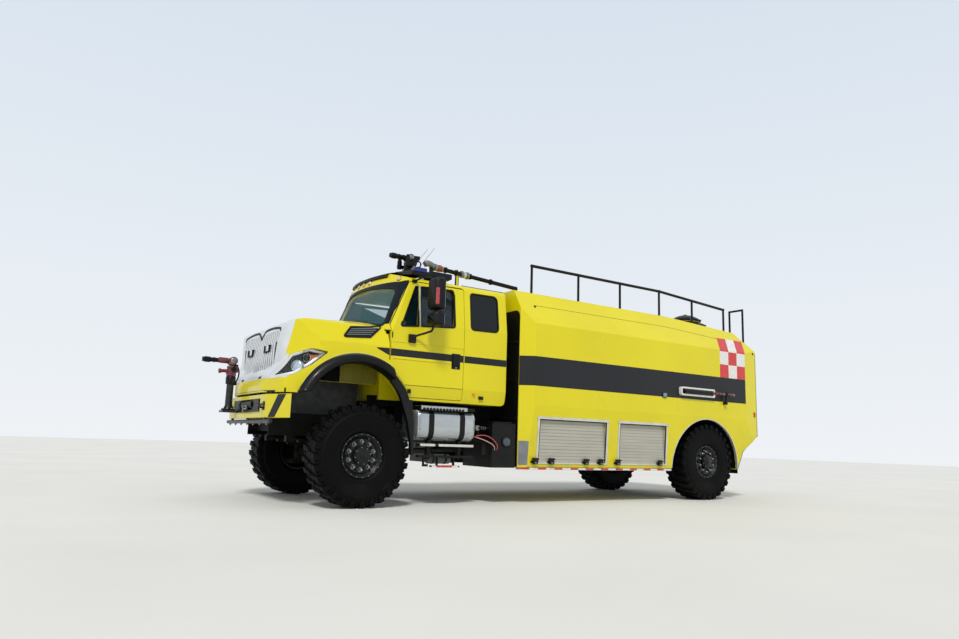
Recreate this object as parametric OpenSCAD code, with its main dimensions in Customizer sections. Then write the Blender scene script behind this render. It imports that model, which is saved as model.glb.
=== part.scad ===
// Airport fire truck with a bonneted cab, a tank and locker body and two water monitors.
// Lengths in the modules are measured from the front axle, forwards positive; left is +Y.

/* [Chassis] */
// Distance between the axles
wheelbase = 5945; // [5400:5:6400]
// Outside width over the frame rails
frame_width = 860; // [820:5:900]
// Height of the top of the frame rails
frame_top = 1060; // [1040:5:1080]
// Depth of a frame rail
frame_depth = 270; // [220:5:300]
// Thickness of the rail's web and flanges
frame_wall = 12; // [8:1:20]
// Width of a rail's flanges
flange_width = 80; // [70:1:100]
// Width of a cross member along the truck
cross_width = 110; // [80:5:140]

/* [Wheels] */
// Outside diameter of a tyre over its lugs
tyre_diameter = 1180; // [1140:5:1190]
// Width of a tyre
tyre_width = 395; // [360:5:400]
// Diameter of the rim under the tyre's bead
rim_diameter = 508; // [500:1:560]
// Distance of a tyre's middle from the truck's middle
wheel_offset = 1070; // [1050:5:1075]
// Distance of a kingpin from the truck's middle
kingpin_offset = 930; // [920:5:940]
// Diameter of the kingpins
kingpin_diameter = 50; // [40:1:60]
// Diameter of the wheel spindles
spindle_diameter = 90; // [70:1:100]
// Angle by which the front wheels stand to the right at rest
steer_rest = 0; // [0:1:20]
// Number of lugs on each half of a tread
lug_count = 28; // [20:1:30]
// Height of the lugs over the tyre's crown
lug_height = 24; // [18:1:28]
// Number of wheel nuts
nut_count = 10; // [6:1:12]

/* [Tank body] */
// Width of the body
body_width = 2550; // [2500:10:2560]
// Front face of the body behind the front axle
body_front = 2267; // [2240:1:2300]
// Start of the side panels behind the front axle
side_front = 2438; // [2400:1:2480]
// Distance from the rear axle to the back of the body
rear_overhang = 1306; // [1250:1:1350]
// Length of the body's back part, which tapers
tail_taper = 337; // [300:1:380]
// Lowest edge of the side panels
skirt_bottom = 475; // [460:5:520]
// Height of the crease above the lockers
crease_height = 1297; // [1280:1:1320]
// Height of the shoulder below the sloping upper panel
shoulder_height = 2420; // [2380:5:2450]
// Height of the roof
roof_height = 2900; // [2850:5:2950]
// Width of the roof
roof_width = 1960; // [1900:5:2000]
// Radius of the rear wheel arches
rear_arch_radius = 783; // [770:1:790]
// Fall of the roof behind its last level post
roof_fall = 110; // [80:5:130]

/* [Cab] */
// Width of the cab
cab_width = 2060; // [2000:10:2080]
// Height of the cab's underside
cab_bottom = 1270; // [1250:5:1290]
// Height of the cab's roof in its middle
cab_roof = 2950; // [2900:5:2980]
// Back of the cab behind the front axle
cab_back = 2130; // [2100:5:2150]
// Front edge of the doors behind the front axle
door_front = 385; // [370:1:400]
// Rear edge of the doors behind the front axle
door_rear = 1450; // [1420:5:1480]
// Thickness of the cab's walls
cab_wall = 50; // [40:1:60]
// Thickness of a whole door
door_depth = 66; // [55:1:75]
// Gap round a door
door_gap = 7; // [6:1:9]
// Thickness of the panes
glass_thickness = 6; // [5:1:8]
// Lean of the windscreen from upright
screen_lean = 22.8; // [20:0.1:25]
// Radius of the windscreen's curve
screen_radius = 2260; // [2000:10:2600]

/* [Hood] */
// Width over the front fenders
fender_width = 2300; // [2240:10:2340]
// Radius of the front wheel arches in the fenders
front_arch_radius = 744; // [730:1:760]
// Width of a flare across its arch
flare_depth = 84; // [60:1:100]
// Thickness of the hood's shell
hood_wall = 30; // [20:1:40]
// Width of the grille at its top
grille_width = 1500; // [1400:5:1540]
// Height of the grille
grille_height = 520; // [480:5:540]
// Number of upright bars in the grille
grille_bars = 25; // [15:2:31]

/* [Bumper and monitors] */
// Width of the bumper
bumper_width = 2400; // [2300:10:2440]
// Front face of the bumper ahead of the front axle
bumper_front = 1020; // [1000:5:1040]
// Height of the bumper's lower edge
bumper_bottom = 985; // [960:5:1000]
// Height of the bumper's upper edge
bumper_top = 1250; // [1230:1:1255]
// Distance of the bumper monitor's post to the right of the middle
post_offset = 450; // [400:10:500]
// Distance of the bumper monitor's post ahead of the front axle
post_ahead = 1122; // [1110:1:1135]
// Height at which the bumper monitor turns
post_top = 1515; // [1480:5:1540]
// Bore of the bumper monitor's nozzle
nozzle_bore = 38; // [25:1:45]
// Distance of the roof monitor behind the front axle
roof_monitor_back = 1100; // [1050:5:1150]

/* [Hidden] */
$fn = 48;

// Running fit of pins and spindles, and the seat clearance between curved faces
fit = 0.05;
seat = 0.3;

yellow = "#d9cf2a";
black = "#202226";
grey = "#8a8d90";
silver = "#c4c6c8";
glass = "#40505a";

tail = wheelbase + rear_overhang;
side_rear = tail - tail_taper;
hub_height = tyre_diameter/2;
rail_outer = frame_width/2;
rail_bottom = frame_top - frame_depth;
cab_half = cab_width/2;
body_half = body_width/2;
roof_half = roof_width/2;
fender_half = fender_width/2;
nozzle_reach = 368;
nozzle_tip = post_ahead + nozzle_reach;
ladder_stand = 60;
ladder_radius = 18;
front_axle_x = (tail + ladder_stand + ladder_radius - nozzle_tip)/2;

// Corner of a polygon rounded with radius r, as n steps along its arc
function unit(v) = v/norm(v);
function corner(a, b, c, r, n) =
    let(u = unit(a - b), w = unit(c - b), half = acos(u*w)/2, m = b + unit(u + w)*r/sin(half),
        p = b + u*r/tan(half) - m, q = b + w*r/tan(half) - m,
        from = atan2(p.y, p.x), turn = sign(p.x*q.y - p.y*q.x)*(180 - 2*half))
    [for (i = [0:n]) m + r*[cos(from + turn*i/n), sin(from + turn*i/n)]];
function xy(p) = [p[0], p[1]];
// Outline from points given as x, y and corner radius
function rounded(p, n = 4) =
    [for (i = [0:len(p) - 1]) let(a = xy(p[(i + len(p) - 1) % len(p)]), b = xy(p[i]),
        c = xy(p[(i + 1) % len(p)]))
        each (p[i][2] > 0 ? corner(a, b, c, p[i][2], n) : [b])];
// Right half of an outline mirrored to its left half
function whole(p) = concat(p, [for (i = [len(p) - 1:-1:0]) [-p[i][0], p[i][1], p[i][2]]]);

// Puts shapes measured from the front axle into the truck's frame
module at_axle() translate([front_axle_x, 0, 0]) children();
module both_sides() {
    children();
    mirror([0, 1, 0]) children();
}
module side(left) {
    if (left) children();
    else mirror([0, 1, 0]) children();
}
// Block between two corners
module block(a, b) translate(a) cube(b - a);
// Outline in X and Z, extruded across the truck from y0 to y1
module across(p, y0, y1) translate([0, y1, 0]) rotate([90, 0, 0]) linear_extrude(y1 - y0) polygon(p);
// Outline in Y and Z, extruded along the truck from x0 to x1
module along(p, x0, x1) translate([x0, 0, 0]) rotate([90, 0, 90]) linear_extrude(x1 - x0) polygon(p);
// Cylinder across the truck
module disc(x, z, r, y0, y1) translate([x, y1, z]) rotate([90, 0, 0])
    cylinder(h = y1 - y0, r = r, $fn = r > 300 ? 180 : 48);
// Round bar between two points
module rod(a, b, r) {
    d = b - a;
    translate(a) rotate([0, acos(d.z/norm(d)), atan2(d.y, d.x)]) cylinder(h = norm(d), r = r, $fn = 24);
}

// Frame

mount_positions = [-560, -1950];
// Places of the cross members behind the front axle
cross_places = [-700, 1600, 2300, 3300, 4400, 5000, 6900];
frame_rear = tail - 180;
frame_nose = 860;

module rail() difference() {
    block([-frame_rear, rail_outer - flange_width, rail_bottom], [frame_nose, rail_outer, frame_top]);
    block([-frame_rear - 1, rail_outer - flange_width - 1, rail_bottom + frame_wall],
        [frame_nose + 1, rail_outer - frame_wall, frame_top - frame_wall]);
}

module frame_rails() color(black) at_axle() {
    both_sides() {
        rail();
        for (x = mount_positions)
            block([x - 60, rail_outer - flange_width, frame_top], [x + 60, rail_outer, cab_bottom]);
    }
    for (p = cross_places)
        block([-p - cross_width/2, -rail_outer + frame_wall, rail_bottom + 50],
            [-p + cross_width/2, rail_outer - frame_wall, frame_top - 50]);
}

// Axles and springs

beam_radius = 75;
diff_radius = 190;
yoke_gap = 115;
yoke_thickness = 45;
yoke_radius = 62;
spring_offset = rail_outer - flange_width/2;
spring_width = flange_width;
spring_height = hub_height + beam_radius;
leaf = 22;

nose_reach = 240;
// Differential whose nose points forwards with way 1 and backwards with way -1
module differential(x, way) translate([x, 0, hub_height]) rotate([0, way*90, 0]) {
    cylinder(h = 220, r = diff_radius, center = true);
    translate([0, 0, -170]) cylinder(h = 60, r1 = 120, r2 = diff_radius);
    translate([0, 0, 110]) cylinder(h = nose_reach - 110, r1 = 120, r2 = 70);
}

module front_axle() color(black) at_axle() difference() {
    union() {
        disc(0, hub_height, beam_radius, -kingpin_offset + 100, kingpin_offset - 100);
        differential(0, -1);
        both_sides() for (s = [-1, 1]) {
            translate([0, kingpin_offset, hub_height + s*(yoke_gap + 1 + yoke_thickness/2)])
                cylinder(h = yoke_thickness, r = yoke_radius, center = true);
            block([-50, kingpin_offset - 140, hub_height + s*(yoke_gap + 1 + yoke_thickness/2) - yoke_thickness/2],
                [50, kingpin_offset, hub_height + s*(yoke_gap + 1 + yoke_thickness/2) + yoke_thickness/2]);
        }
        both_sides() block([-50, kingpin_offset - 140, hub_height - yoke_gap - 1],
            [50, kingpin_offset - 100, hub_height + yoke_gap + 1]);
    }
    both_sides() translate([0, kingpin_offset, hub_height])
        cylinder(h = 2*yoke_gap + 4*yoke_thickness, r = kingpin_diameter/2 + fit, center = true);
}

module rear_axle() color(black) at_axle() {
    disc(-wheelbase, hub_height, beam_radius, -wheel_offset + 180, wheel_offset - 180);
    disc(-wheelbase, hub_height, spindle_diameter/2, -spindle_end, spindle_end);
    differential(-wheelbase, 1);
}

// Leaf pack whose ends reach the hangers under the rail
module spring_pack(x, reach) {
    rise = rail_bottom - 12 - spring_height - 3*leaf;
    bend = (reach*reach + rise*rise)/(2*rise);
    for (i = [0:2]) intersection() {
        translate([x, spring_offset, spring_height + (2 - i)*leaf + bend]) rotate([90, 0, 0]) difference() {
            cylinder(h = spring_width, r = bend, center = true, $fn = 180);
            cylinder(h = spring_width + 2, r = bend - leaf, center = true, $fn = 180);
        }
        block([x - reach*(1 - i*0.22), 0, spring_height - 1],
            [x + reach*(1 - i*0.22), rail_outer + 20, frame_top]);
    }
    for (s = [-1, 1])
        block([x + s*(reach - 30) - 45, spring_offset - spring_width/2, rail_bottom - 70],
            [x + s*(reach - 30) + 45, spring_offset + spring_width/2, rail_bottom]);
    block([x - 70, spring_offset - spring_width/2 - 8, spring_height],
        [x + 70, spring_offset + spring_width/2 + 8, spring_height + 3*leaf]);
}

module leaf_springs() color(black) at_axle() both_sides() {
    spring_pack(0, 620);
    spring_pack(-wheelbase, 700);
}

// Steering and wheels

rim_radius = rim_diameter/2;
spindle_end = wheel_offset + 130;
hub_inner = 25;
disc_place = 118;
disc_thickness = 16;
nut_ring = 157.5;

// Turns shapes by the resting steering angle about a left or right kingpin
module steered(left) at_axle() translate([0, (left ? 1 : -1)*kingpin_offset, 0]) rotate([0, 0, -steer_rest])
    translate([0, (left ? -1 : 1)*kingpin_offset, 0]) side(left) children();

module knuckle(left) color(black) steered(left) {
    translate([0, kingpin_offset, hub_height])
        cylinder(h = 2*(yoke_gap + yoke_thickness + 12), r = kingpin_diameter/2, center = true);
    difference() {
        translate([0, kingpin_offset, hub_height]) cylinder(h = 2*yoke_gap, r = 66, center = true);
        disc(0, hub_height, beam_radius + 8, 0, kingpin_offset - 85);
    }
    disc(0, hub_height, spindle_diameter/2, kingpin_offset, spindle_end);
}
module knuckle_left() knuckle(true);
module knuckle_right() knuckle(false);

crown_radius = tyre_diameter/2 - lug_height;
shoulder = 30;
tyre_half = tyre_width/2;
lug_width = 66;
lug_slant = 14;
lug_inner = 12;
lug_outer = tyre_half - 6;
// Top of a flat slanted lug whose corners reach the tyre's outside diameter
lug_reach = (lug_width*cos(lug_slant) + (lug_outer - lug_inner)*sin(lug_slant))/2;
lug_top = sqrt(pow(tyre_diameter/2, 2) - pow(lug_reach, 2));
// Half tyre outline as radius and distance in from the sidewall
tyre_profile = [[rim_radius + seat, 40], [rim_radius + 60, 8], [rim_radius + 190, 0],
    [crown_radius - shoulder, 8],
    [crown_radius, 40]];
// Lug rows as side and turn against the other row's pitch
lug_rows = [[1, 0], [-1, 0.5]];

module lug(row, i) rotate([0, 0, (i + row[1])*360/lug_count])
    translate([crown_radius - shoulder, 0, row[0]*(lug_inner + lug_outer)/2]) rotate([row[0]*lug_slant, 0, 0])
        translate([0, -lug_width/2, -(lug_outer - lug_inner)/2])
            cube([lug_top - crown_radius + shoulder, lug_width, lug_outer - lug_inner]);
module tyre() translate([0, wheel_offset, hub_height]) rotate([90, 0, 0]) {
    rotate_extrude($fn = 36) polygon(concat([for (p = tyre_profile) [p[0], p[1] - tyre_half]],
        [for (i = [len(tyre_profile) - 1:-1:0]) [tyre_profile[i][0], tyre_half - tyre_profile[i][1]]]));
    for (row = lug_rows, i = [0:lug_count - 1]) lug(row, i);
}

module rim() {
    translate([0, wheel_offset, hub_height]) rotate([-90, 0, 0]) difference() {
        union() {
            rotate_extrude($fn = 72) polygon([
                [rim_radius - 18, -tyre_width/2 + 40], [rim_radius, -tyre_width/2 + 40],
                [rim_radius, tyre_width/2 - 40], [rim_radius - 18, tyre_width/2 - 40],
                [rim_radius - 60, disc_place], [100, disc_place], [100, disc_place - disc_thickness],
                [rim_radius - 66, disc_place - disc_thickness], [rim_radius - 18, disc_place - 60]]);
            translate([0, 0, hub_inner]) cylinder(h = disc_place - hub_inner, r = 118);
            translate([0, 0, disc_place - 6]) cylinder(h = 58, r = 104);
            translate([0, 0, disc_place + 50]) cylinder(h = 16, r1 = 84, r2 = 70);
            for (i = [0:nut_count - 1]) rotate([0, 0, i*360/nut_count])
                translate([nut_ring, 0, disc_place - 6]) cylinder(h = 36, r = 17, $fn = 24);
        }
        cylinder(h = 2*(spindle_end - wheel_offset + 6), r = spindle_diameter/2 + fit, center = true);
    }
}
module rear_place(left) at_axle() translate([-wheelbase, 0, 0]) side(left) children();

module tyre_front_left() color(black) steered(true) tyre();
module tyre_front_right() color(black) steered(false) tyre();
module tyre_rear_left() color(black) rear_place(true) tyre();
module tyre_rear_right() color(black) rear_place(false) tyre();
module rim_front_left() color(black) steered(true) rim();
module rim_front_right() color(black) steered(false) rim();
module rim_rear_left() color(black) rear_place(true) rim();
module rim_rear_right() color(black) rear_place(false) rim();

// Drivetrain

transfer_front = 2390;
transfer_back = 2760;
flange_length = 40;
gearbox_back = 1150;
// Engine, gearbox and transfer case as rear edge, front edge, half width, bottom and top
power_blocks = [[-280, 590, 330, 900, 1500], [-gearbox_back, -280, 200, 760, 1200],
    [-transfer_back, -transfer_front, 210, 650, 980]];
// Shafts from point to point, with their radii
shafts = [[[-gearbox_back, 60, 800], [-transfer_front, 60, 790], 38],
    [[-transfer_front - 10, -60, 690], [-nose_reach - 25, 0, hub_height], 36],
    [[-transfer_back + 10, 0, 700], [-wheelbase + nose_reach + 25, 0, hub_height], 45]];

module drivetrain() color(grey) at_axle() {
    for (b = power_blocks) block([b[0], -b[2], b[3]], [b[1], b[2], b[4]]);
    for (s = shafts) rod(s[0], s[1], s[2]);
    for (x = [-nose_reach - flange_length, -wheelbase + nose_reach])
        translate([x, 0, hub_height]) rotate([0, 90, 0]) cylinder(h = flange_length, r = 66);
}

// Tanks and steps below the cab

tank_front = 780;
tank_back = 1576;
tank_bottom = 788;
tank_top = 1157;
tank_outer = 1130;
tank_inner = 570;
strap = 8;
strap_places = [950, 1400];

function tank_outline(d) = rounded([
    [tank_inner - d, tank_bottom - d, 60 + d], [tank_outer + d, tank_bottom - d, 120 + d],
    [tank_outer + d, tank_top + d, 90 + d], [tank_inner - d, tank_top + d, 60 + d]], 6);

module fuel_tanks() color(silver) at_axle() both_sides() along(tank_outline(0), -tank_back, -tank_front);

module side_steps() color(black) at_axle() both_sides() {
    for (p = strap_places) {
        difference() {
            along(tank_outline(strap), -p - 35, -p + 35);
            along(tank_outline(0), -p - 36, -p + 36);
        }
        block([-p - 35, rail_outer, 860], [-p + 35, tank_inner - strap, 1010]);
        block([-p - 20, tank_outer - 120, 560], [-p + 20, tank_outer - 60, tank_bottom - strap]);
    }
    block([-tank_back, 880, tank_top + strap], [-tank_front, tank_outer + strap, tank_top + strap + 40]);
    for (z = [580, 715])
        block([-tank_back, tank_outer - 60, z], [-tank_front, tank_outer + 6, z + 28]);
    block([-1330, tank_outer - 60, 462], [-1050, tank_outer + 6, 486]);
    for (x = [-1320, -1080])
        block([x, tank_outer - 60, 486], [x + 20, tank_outer - 30, 580]);
}

module side_boxes() color(black) at_axle() both_sides()
    block([-body_front + 30, rail_outer, 465], [-1863, tank_outer, 1040]);

// Bumper, winch and pipework

bumper_side = 850;
bumper_fold = 760;
recess_half = 560;
tray_top = 1085;
post_radius = 44;

module bumper() color(yellow) at_axle() difference() {
    block([frame_nose, -bumper_width/2, bumper_bottom], [bumper_front, bumper_width/2, bumper_top]);
    both_sides() translate([bumper_front, bumper_fold, bumper_bottom - 1])
        linear_extrude(bumper_top - bumper_bottom + 2)
        polygon([[0, 0], [bumper_side - bumper_front, bumper_width/2 - bumper_fold + 0.1],
            [10, bumper_width/2]]);
    block([frame_nose + 60, -recess_half, tray_top - 30], [bumper_front + 1, recess_half, bumper_top - 45]);
}

module winch() color(black) at_axle() {
    translate([bumper_front - 45, 0, 0]) {
        disc(0, tray_top + 60, 42, -250, 250);
        for (y = [-500, 250]) block([-50, y, tray_top - 6], [45, y + 250, tray_top + 118]);
    }
    block([frame_nose + 60, -recess_half + 5, tray_top - 30],
        [bumper_front + 10, recess_half - 5, tray_top - 6]);
}

module bumper_pipework() color(grey) at_axle() {
    block([bumper_front + 10, -post_offset - 90, tray_top - 30],
        [post_ahead + 90, -post_offset + 90, tray_top - 6]);
    translate([post_ahead, -post_offset, tray_top - 6])
        cylinder(h = post_top - tray_top + 6, r = post_radius);
    disc(bumper_front - 30, bumper_bottom - 40, 24, -900, 900);
    for (y = [-700, 0, 700]) block([bumper_front - 45, y - 20, bumper_bottom - 40],
        [bumper_front - 15, y + 20, bumper_bottom]);
}

// Monitors

swivel_height = 120;
tilt_height = 190;
fork_play = 8;
bumper_nozzle_radius = 28;
roof_nozzle_radius = 34;
bore_depth = 60;

// Elbow that turns on its post, with a fork for a nozzle of radius r
module swivel(post_r, r) difference() {
    union() {
        cylinder(h = swivel_height, r = post_r + 14);
        translate([0, 0, swivel_height]) cylinder(h = 70, r = post_r);
        translate([0, 0, tilt_height]) rotate([90, 0, 0]) cylinder(h = 2*r + 90, r = 52, center = true);
    }
    translate([0, 0, tilt_height]) rotate([90, 0, 0]) cylinder(h = 2*r + fork_play, r = 84, center = true);
}
module bumper_monitor() color("#6e1f2c") at_axle() translate([post_ahead, -post_offset, post_top + seat])
    swivel(post_radius, bumper_nozzle_radius);
module nozzle(reach, r) {
    rotate([90, 0, 0]) cylinder(h = 2*r + fork_play - 2*seat, r = 50, center = true);
    rotate([0, 90, 0]) difference() {
        union() {
            cylinder(h = reach, r = r);
            translate([0, 0, reach - 90]) cylinder(h = 60, r = r + 8);
        }
        translate([0, 0, reach - bore_depth]) cylinder(h = bore_depth + 1, r = nozzle_bore/2);
    }
}
module bumper_nozzle() color(black) at_axle() translate([post_ahead, -post_offset,
    post_top + seat + tilt_height])
    nozzle(nozzle_reach, bumper_nozzle_radius);

roof_swivel = cab_roof + 210;
module roof_monitor_base() color(black) at_axle() translate([-roof_monitor_back, 0, cab_roof])
    cylinder(h = roof_swivel - cab_roof, r = 70);
module roof_monitor() color(black) at_axle() translate([-roof_monitor_back, 0, roof_swivel + seat])
    swivel(56, roof_nozzle_radius);
module roof_nozzle() color(black) at_axle() translate([-roof_monitor_back, 0,
    roof_swivel + seat + tilt_height])
    nozzle(300, roof_nozzle_radius);

// Cab

screen_foot = [-163, 2215];
cab_corner = 60;
belt_height = 2250;
cab_lean = 70;
floor_height = 1330;

// Half width of the cab's side at height z
function cab_y(z) = z <= belt_height ? cab_half : cab_half - cab_lean*(z - belt_height)/540;
function cab_side(d) = rounded([
    [-door_front - d, cab_bottom + (d > 0 ? floor_height - cab_bottom : 0), 0],
    [-door_front - d, 2120, 0], [screen_foot.x - 1.4*d, screen_foot.y - 45 - d, 0],
    [screen_foot.x - (cab_roof - screen_foot.y)*tan(screen_lean) - 1.2*d, cab_roof - d, 90],
    [-cab_back + d, cab_roof - d, 110],
    [-cab_back + d, cab_bottom + (d > 0 ? floor_height - cab_bottom : 0), d > 0 ? 0 : cab_corner]], 5);
function cab_front(d) = rounded(whole([
    [cab_half - 30 - d, cab_bottom, 0], [cab_half - d, 1455, 0],
    [cab_half - d, belt_height, 0], [cab_y(2790) - d, 2830 - d, 90], [500, cab_roof - d, 0]]), 5);
module screen_frame() translate([screen_foot.x, 0, screen_foot.y]) rotate([0, -screen_lean, 0]) children();
// Round the windscreen and its pillars stand on, set in by d
module screen_body(d) screen_frame() translate([-screen_radius, 0, -1600])
    cylinder(h = 3200, r = screen_radius - d, $fn = 360);
// Whole cab set in by d on every face
module cab_form(d) intersection() {
    across(cab_side(d), -cab_half, cab_half);
    along(cab_front(d), -cab_back, 200);
    screen_body(d);
}
// Outlines as X, Z and corner radius
door_outline = [[-door_front, 1200, 0], [-door_front, 2195, 30], [-632, 2790, 60],
    [-door_rear, 2800, 40], [-door_rear, 1300, 40]];
vent_outline = [[-505, 2180, 20], [-762, 2205, 15], [-762, 2735, 15], [-712, 2733, 20]];
pane_outline = [[-792, 2208, 15], [-792, 2740, 20], [-1300, 2758, 40], [-1300, 2245, 40]];
rear_pane_outline = [[-1554, 2250, 40], [-1554, 2745, 40], [-1984, 2750, 60], [-1984, 2260, 60]];
function shrink(p, d) = let(c = [for (i = [0, 1]) (max([for (q = p) q[i]]) + min([for (q = p) q[i]]))/2],
    w = [for (i = [0, 1]) max([for (q = p) q[i]]) - min([for (q = p) q[i]])])
    [for (q = p) [c.x + (q[0] - c.x)*(1 - 2*d/w[0]), c.y + (q[1] - c.y)*(1 - 2*d/w[1]), q[2]]];
arch_centre = [60, 994];

module door_space(d) difference() {
    across(rounded(shrink(door_outline, d)), 700, cab_half + 1);
    disc(arch_centre.x, arch_centre.y, front_arch_radius + 50 + d, 600, cab_half + 2);
    block([-3000, 600, 0], [100, cab_half + 2, cab_bottom + 30 + d]);
}
module screen_space(d) screen_frame() translate([-600, 0, 0]) rotate([90, 0, 90]) linear_extrude(700)
    polygon(rounded(whole([[880 - d, 40 + d, 60], [830 - d, 590 - d, 90]]), 5));
module rear_window(d) along(rounded(whole([[560 - d, 2280 + d, 60], [560 - d, 2700 - d, 60]])),
    -cab_back - 10, -1900);

module cab_shell() color(yellow) at_axle() difference() {
    cab_form(0);
    difference() {
        cab_form(cab_wall);
        across([[0, 1850], [-435, 1850], [-830, floor_height], [-830, 1200], [0, 1200]], -cab_half, cab_half);
    }
    both_sides() {
        door_space(0);
        disc(arch_centre.x, arch_centre.y, front_arch_radius, 760, cab_half + 1);
        across(rounded(rear_pane_outline), 700, cab_half + 1);
    }
    screen_space(0);
    rear_window(0);
}

module pane(d0, outline) intersection() {
    difference() {
        cab_form(d0);
        cab_form(d0 + glass_thickness);
    }
    across(rounded(shrink(outline, seat)), 700, cab_half + 1);
}
module cab_glass() color(glass) at_axle() {
    both_sides() pane(12, rear_pane_outline);
    intersection() {
        difference() {
            cab_form(8);
            cab_form(8 + glass_thickness);
        }
        screen_space(seat);
    }
    intersection() {
        block([-cab_back + 20, -cab_half, cab_bottom], [-cab_back + 20 + glass_thickness, cab_half,
            cab_roof]);
        rear_window(seat);
    }
}

module door(left) color(yellow) at_axle() side(left) difference() {
    intersection() {
        cab_form(0);
        door_space(door_gap);
    }
    cab_form(door_depth);
    for (o = [vent_outline, pane_outline]) across(rounded(o), 700, cab_half + 1);
    block([-3000, 600, 0], [100, cab_half - door_depth, 4000]);
}
module door_left() door(true);
module door_right() door(false);
module door_glass(left) color(glass) at_axle() side(left) for (o = [vent_outline, pane_outline]) pane(30, o);
module door_glass_left() door_glass(true);
module door_glass_right() door_glass(false);

mirror_place = [-860, 1290];
module mirror_pair(left) color(black) at_axle() side(left) {
    along(rounded([[mirror_place.y - 110, 2240, 50], [mirror_place.y + 110, 2240, 50],
        [mirror_place.y + 110, 2840, 50], [mirror_place.y - 110, 2840, 50]]), mirror_place.x - 35,
            mirror_place.x + 35);
    for (z = [0, 90]) rod([-640, cab_half + 20, 2090 + z], [mirror_place.x, mirror_place.y - 100,
        2290 + 2*z], 12);
    block([-670, cab_half + seat, 2060], [-610, cab_half + 24, 2210]);
}
module mirror_left() mirror_pair(true);
module mirror_right() mirror_pair(false);

module seat_form(x, y) translate([x, y, floor_height]) {
    block([-180, -180, 0], [200, 180, 200]);
    across(rounded([[-250, 200 + seat, 30], [270, 200 + seat, 60], [270, 330, 50], [-250, 330, 30]]),
        -240, 240);
    across(rounded([[-260, 330 + 2*seat, 30], [-150, 330 + 2*seat, 30], [-240, 980, 40],
        [-340, 980, 40]]), -230, 230);
}
module cab_interior() color(grey) at_axle() {
    for (y = [-500, 500]) seat_form(-1200, y);
    block([-cab_back + cab_wall, -850, floor_height], [-1700, 850, floor_height + 330]);
    across(rounded([[-436, 2060, 0], [-436, 1860, 0], [-560, 1830, 30], [-700, 1960, 30],
        [-640, 2090, 40], [-500, 2120, 0]]),
        -930, 930);
    translate([-800, 500, 2040]) rotate([0, -60, 0]) {
        rotate_extrude($fn = 48) translate([215, 0]) circle(r = 16, $fn = 16);
        block([-215, -20, -10], [215, 20, 10]);
        translate([0, 0, -130]) cylinder(h = 130, r = 30);
    }
}

// Light bar and the boxes behind its ends, each as front edge, rear edge and outline in Y and Z over the roof
light_bar = [-660, -950, [[500, 0, 0], [960, -72, 12], [960, -15, 20], [500, 40, 60]]];
rear_box = [-950, -1260, [[740, -62, 0], [960, -54, 10], [960, 16, 12], [740, 22, 12]]];
function over_roof(p) = [for (q = p) [q[0], cab_roof + q[1], q[2]]];
module roof_lights() color(black) at_axle() {
    along(rounded(whole(over_roof(light_bar[2]))), light_bar[1], light_bar[0]);
    both_sides() along(rounded(over_roof(rear_box[2])), rear_box[1], rear_box[0]);
}

// Pipe beside the roof monitor as X and Z of its bends
pipe_bends = [[-roof_monitor_back - 190, cab_roof], [-roof_monitor_back - 190, cab_roof + 250],
    [-body_front - 493, roof_height + 194], [-body_front - 493, roof_height]];
pipe_side = 330;
pipe_radius = 30;
module roof_pipe() color(black) at_axle() {
    for (i = [0:2]) rod([pipe_bends[i].x, pipe_side, pipe_bends[i].y],
        [pipe_bends[i + 1].x, pipe_side, pipe_bends[i + 1].y], pipe_radius);
    for (i = [1, 2]) translate([pipe_bends[i].x, pipe_side, pipe_bends[i].y]) sphere(r = pipe_radius + 3);
    block([-1740, pipe_side - 12, cab_roof], [-1690, pipe_side + 12, cab_roof + 200]);
}

// Tank body

fall_start = 5200;
tail_top = roof_height - 436;
tail_bottom = 1032;
chamfer_in = 130;
body_floor = frame_top;
rear_arch_place = wheelbase - 15;
arch_end = rear_arch_place + rear_arch_radius + 10;
foot_run = 130;
foot_rise = 295;
flap_thickness = 12;
flap_drop = 65;
flap_inner = 880;
flap_outer = 1210;

function body_side() = [
    [-body_front, skirt_bottom], [-body_front, roof_height], [-fall_start, roof_height],
    [-side_rear, roof_height - roof_fall], [-tail, tail_top], [-tail, tail_bottom],
    [-arch_end - foot_run, skirt_bottom + foot_rise], [-arch_end, skirt_bottom]];
function body_front_outline() = rounded(whole([
    [body_half - 55, skirt_bottom, 20], [body_half, crease_height, 0], [body_half, shoulder_height, 30],
    [roof_half, roof_height, 30]]), 3);
function body_plan() = [
    [-body_front, body_half - chamfer_in], [-side_front, body_half], [-side_rear, body_half],
    [-tail, body_half - 40], [-tail, -body_half + 40], [-side_rear, -body_half],
    [-side_front, -body_half], [-body_front, -body_half + chamfer_in]];

// Roller shutters as front edge, rear edge, lower edge and upper edge
lockers = [[2540, 3760, 545, 1120], [4020, 4990, 545, 1120]];
locker_depth = 40;

module body_form() intersection() {
    across(body_side(), -body_half, body_half);
    along(body_front_outline(), -tail, -body_front);
    linear_extrude(roof_height + 1) polygon(body_plan());
}
module tank_body() color(yellow) at_axle() difference() {
    union() {
        body_form();
        for (l = lids) lid_collar(l);
    }
    block([-tail - 1, -560, 0], [0, 560, body_floor]);
    both_sides() {
        disc(-rear_arch_place, skirt_bottom, rear_arch_radius, 500, body_half + 1);
        for (l = lockers) block([-l[1], body_half - 30 - locker_depth, l[2]], [-l[0], body_half + 1, l[3]]);
    }
}
module locker_shutters() color(silver) at_axle() both_sides() intersection() {
    for (l = lockers) {
        n = round((l[3] - l[2])/46);
        pitch = (l[3] - l[2])/n;
        block([-l[1], body_half - 30 - locker_depth, l[2]], [-l[0], body_half - 52, l[3]]);
        for (i = [0:n - 1]) block([-l[1], body_half - 53, l[2] + i*pitch],
            [-l[0], body_half - 47, l[2] + (i + 1)*pitch - 8]);
    }
    body_form();
}

// Roof rails

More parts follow.
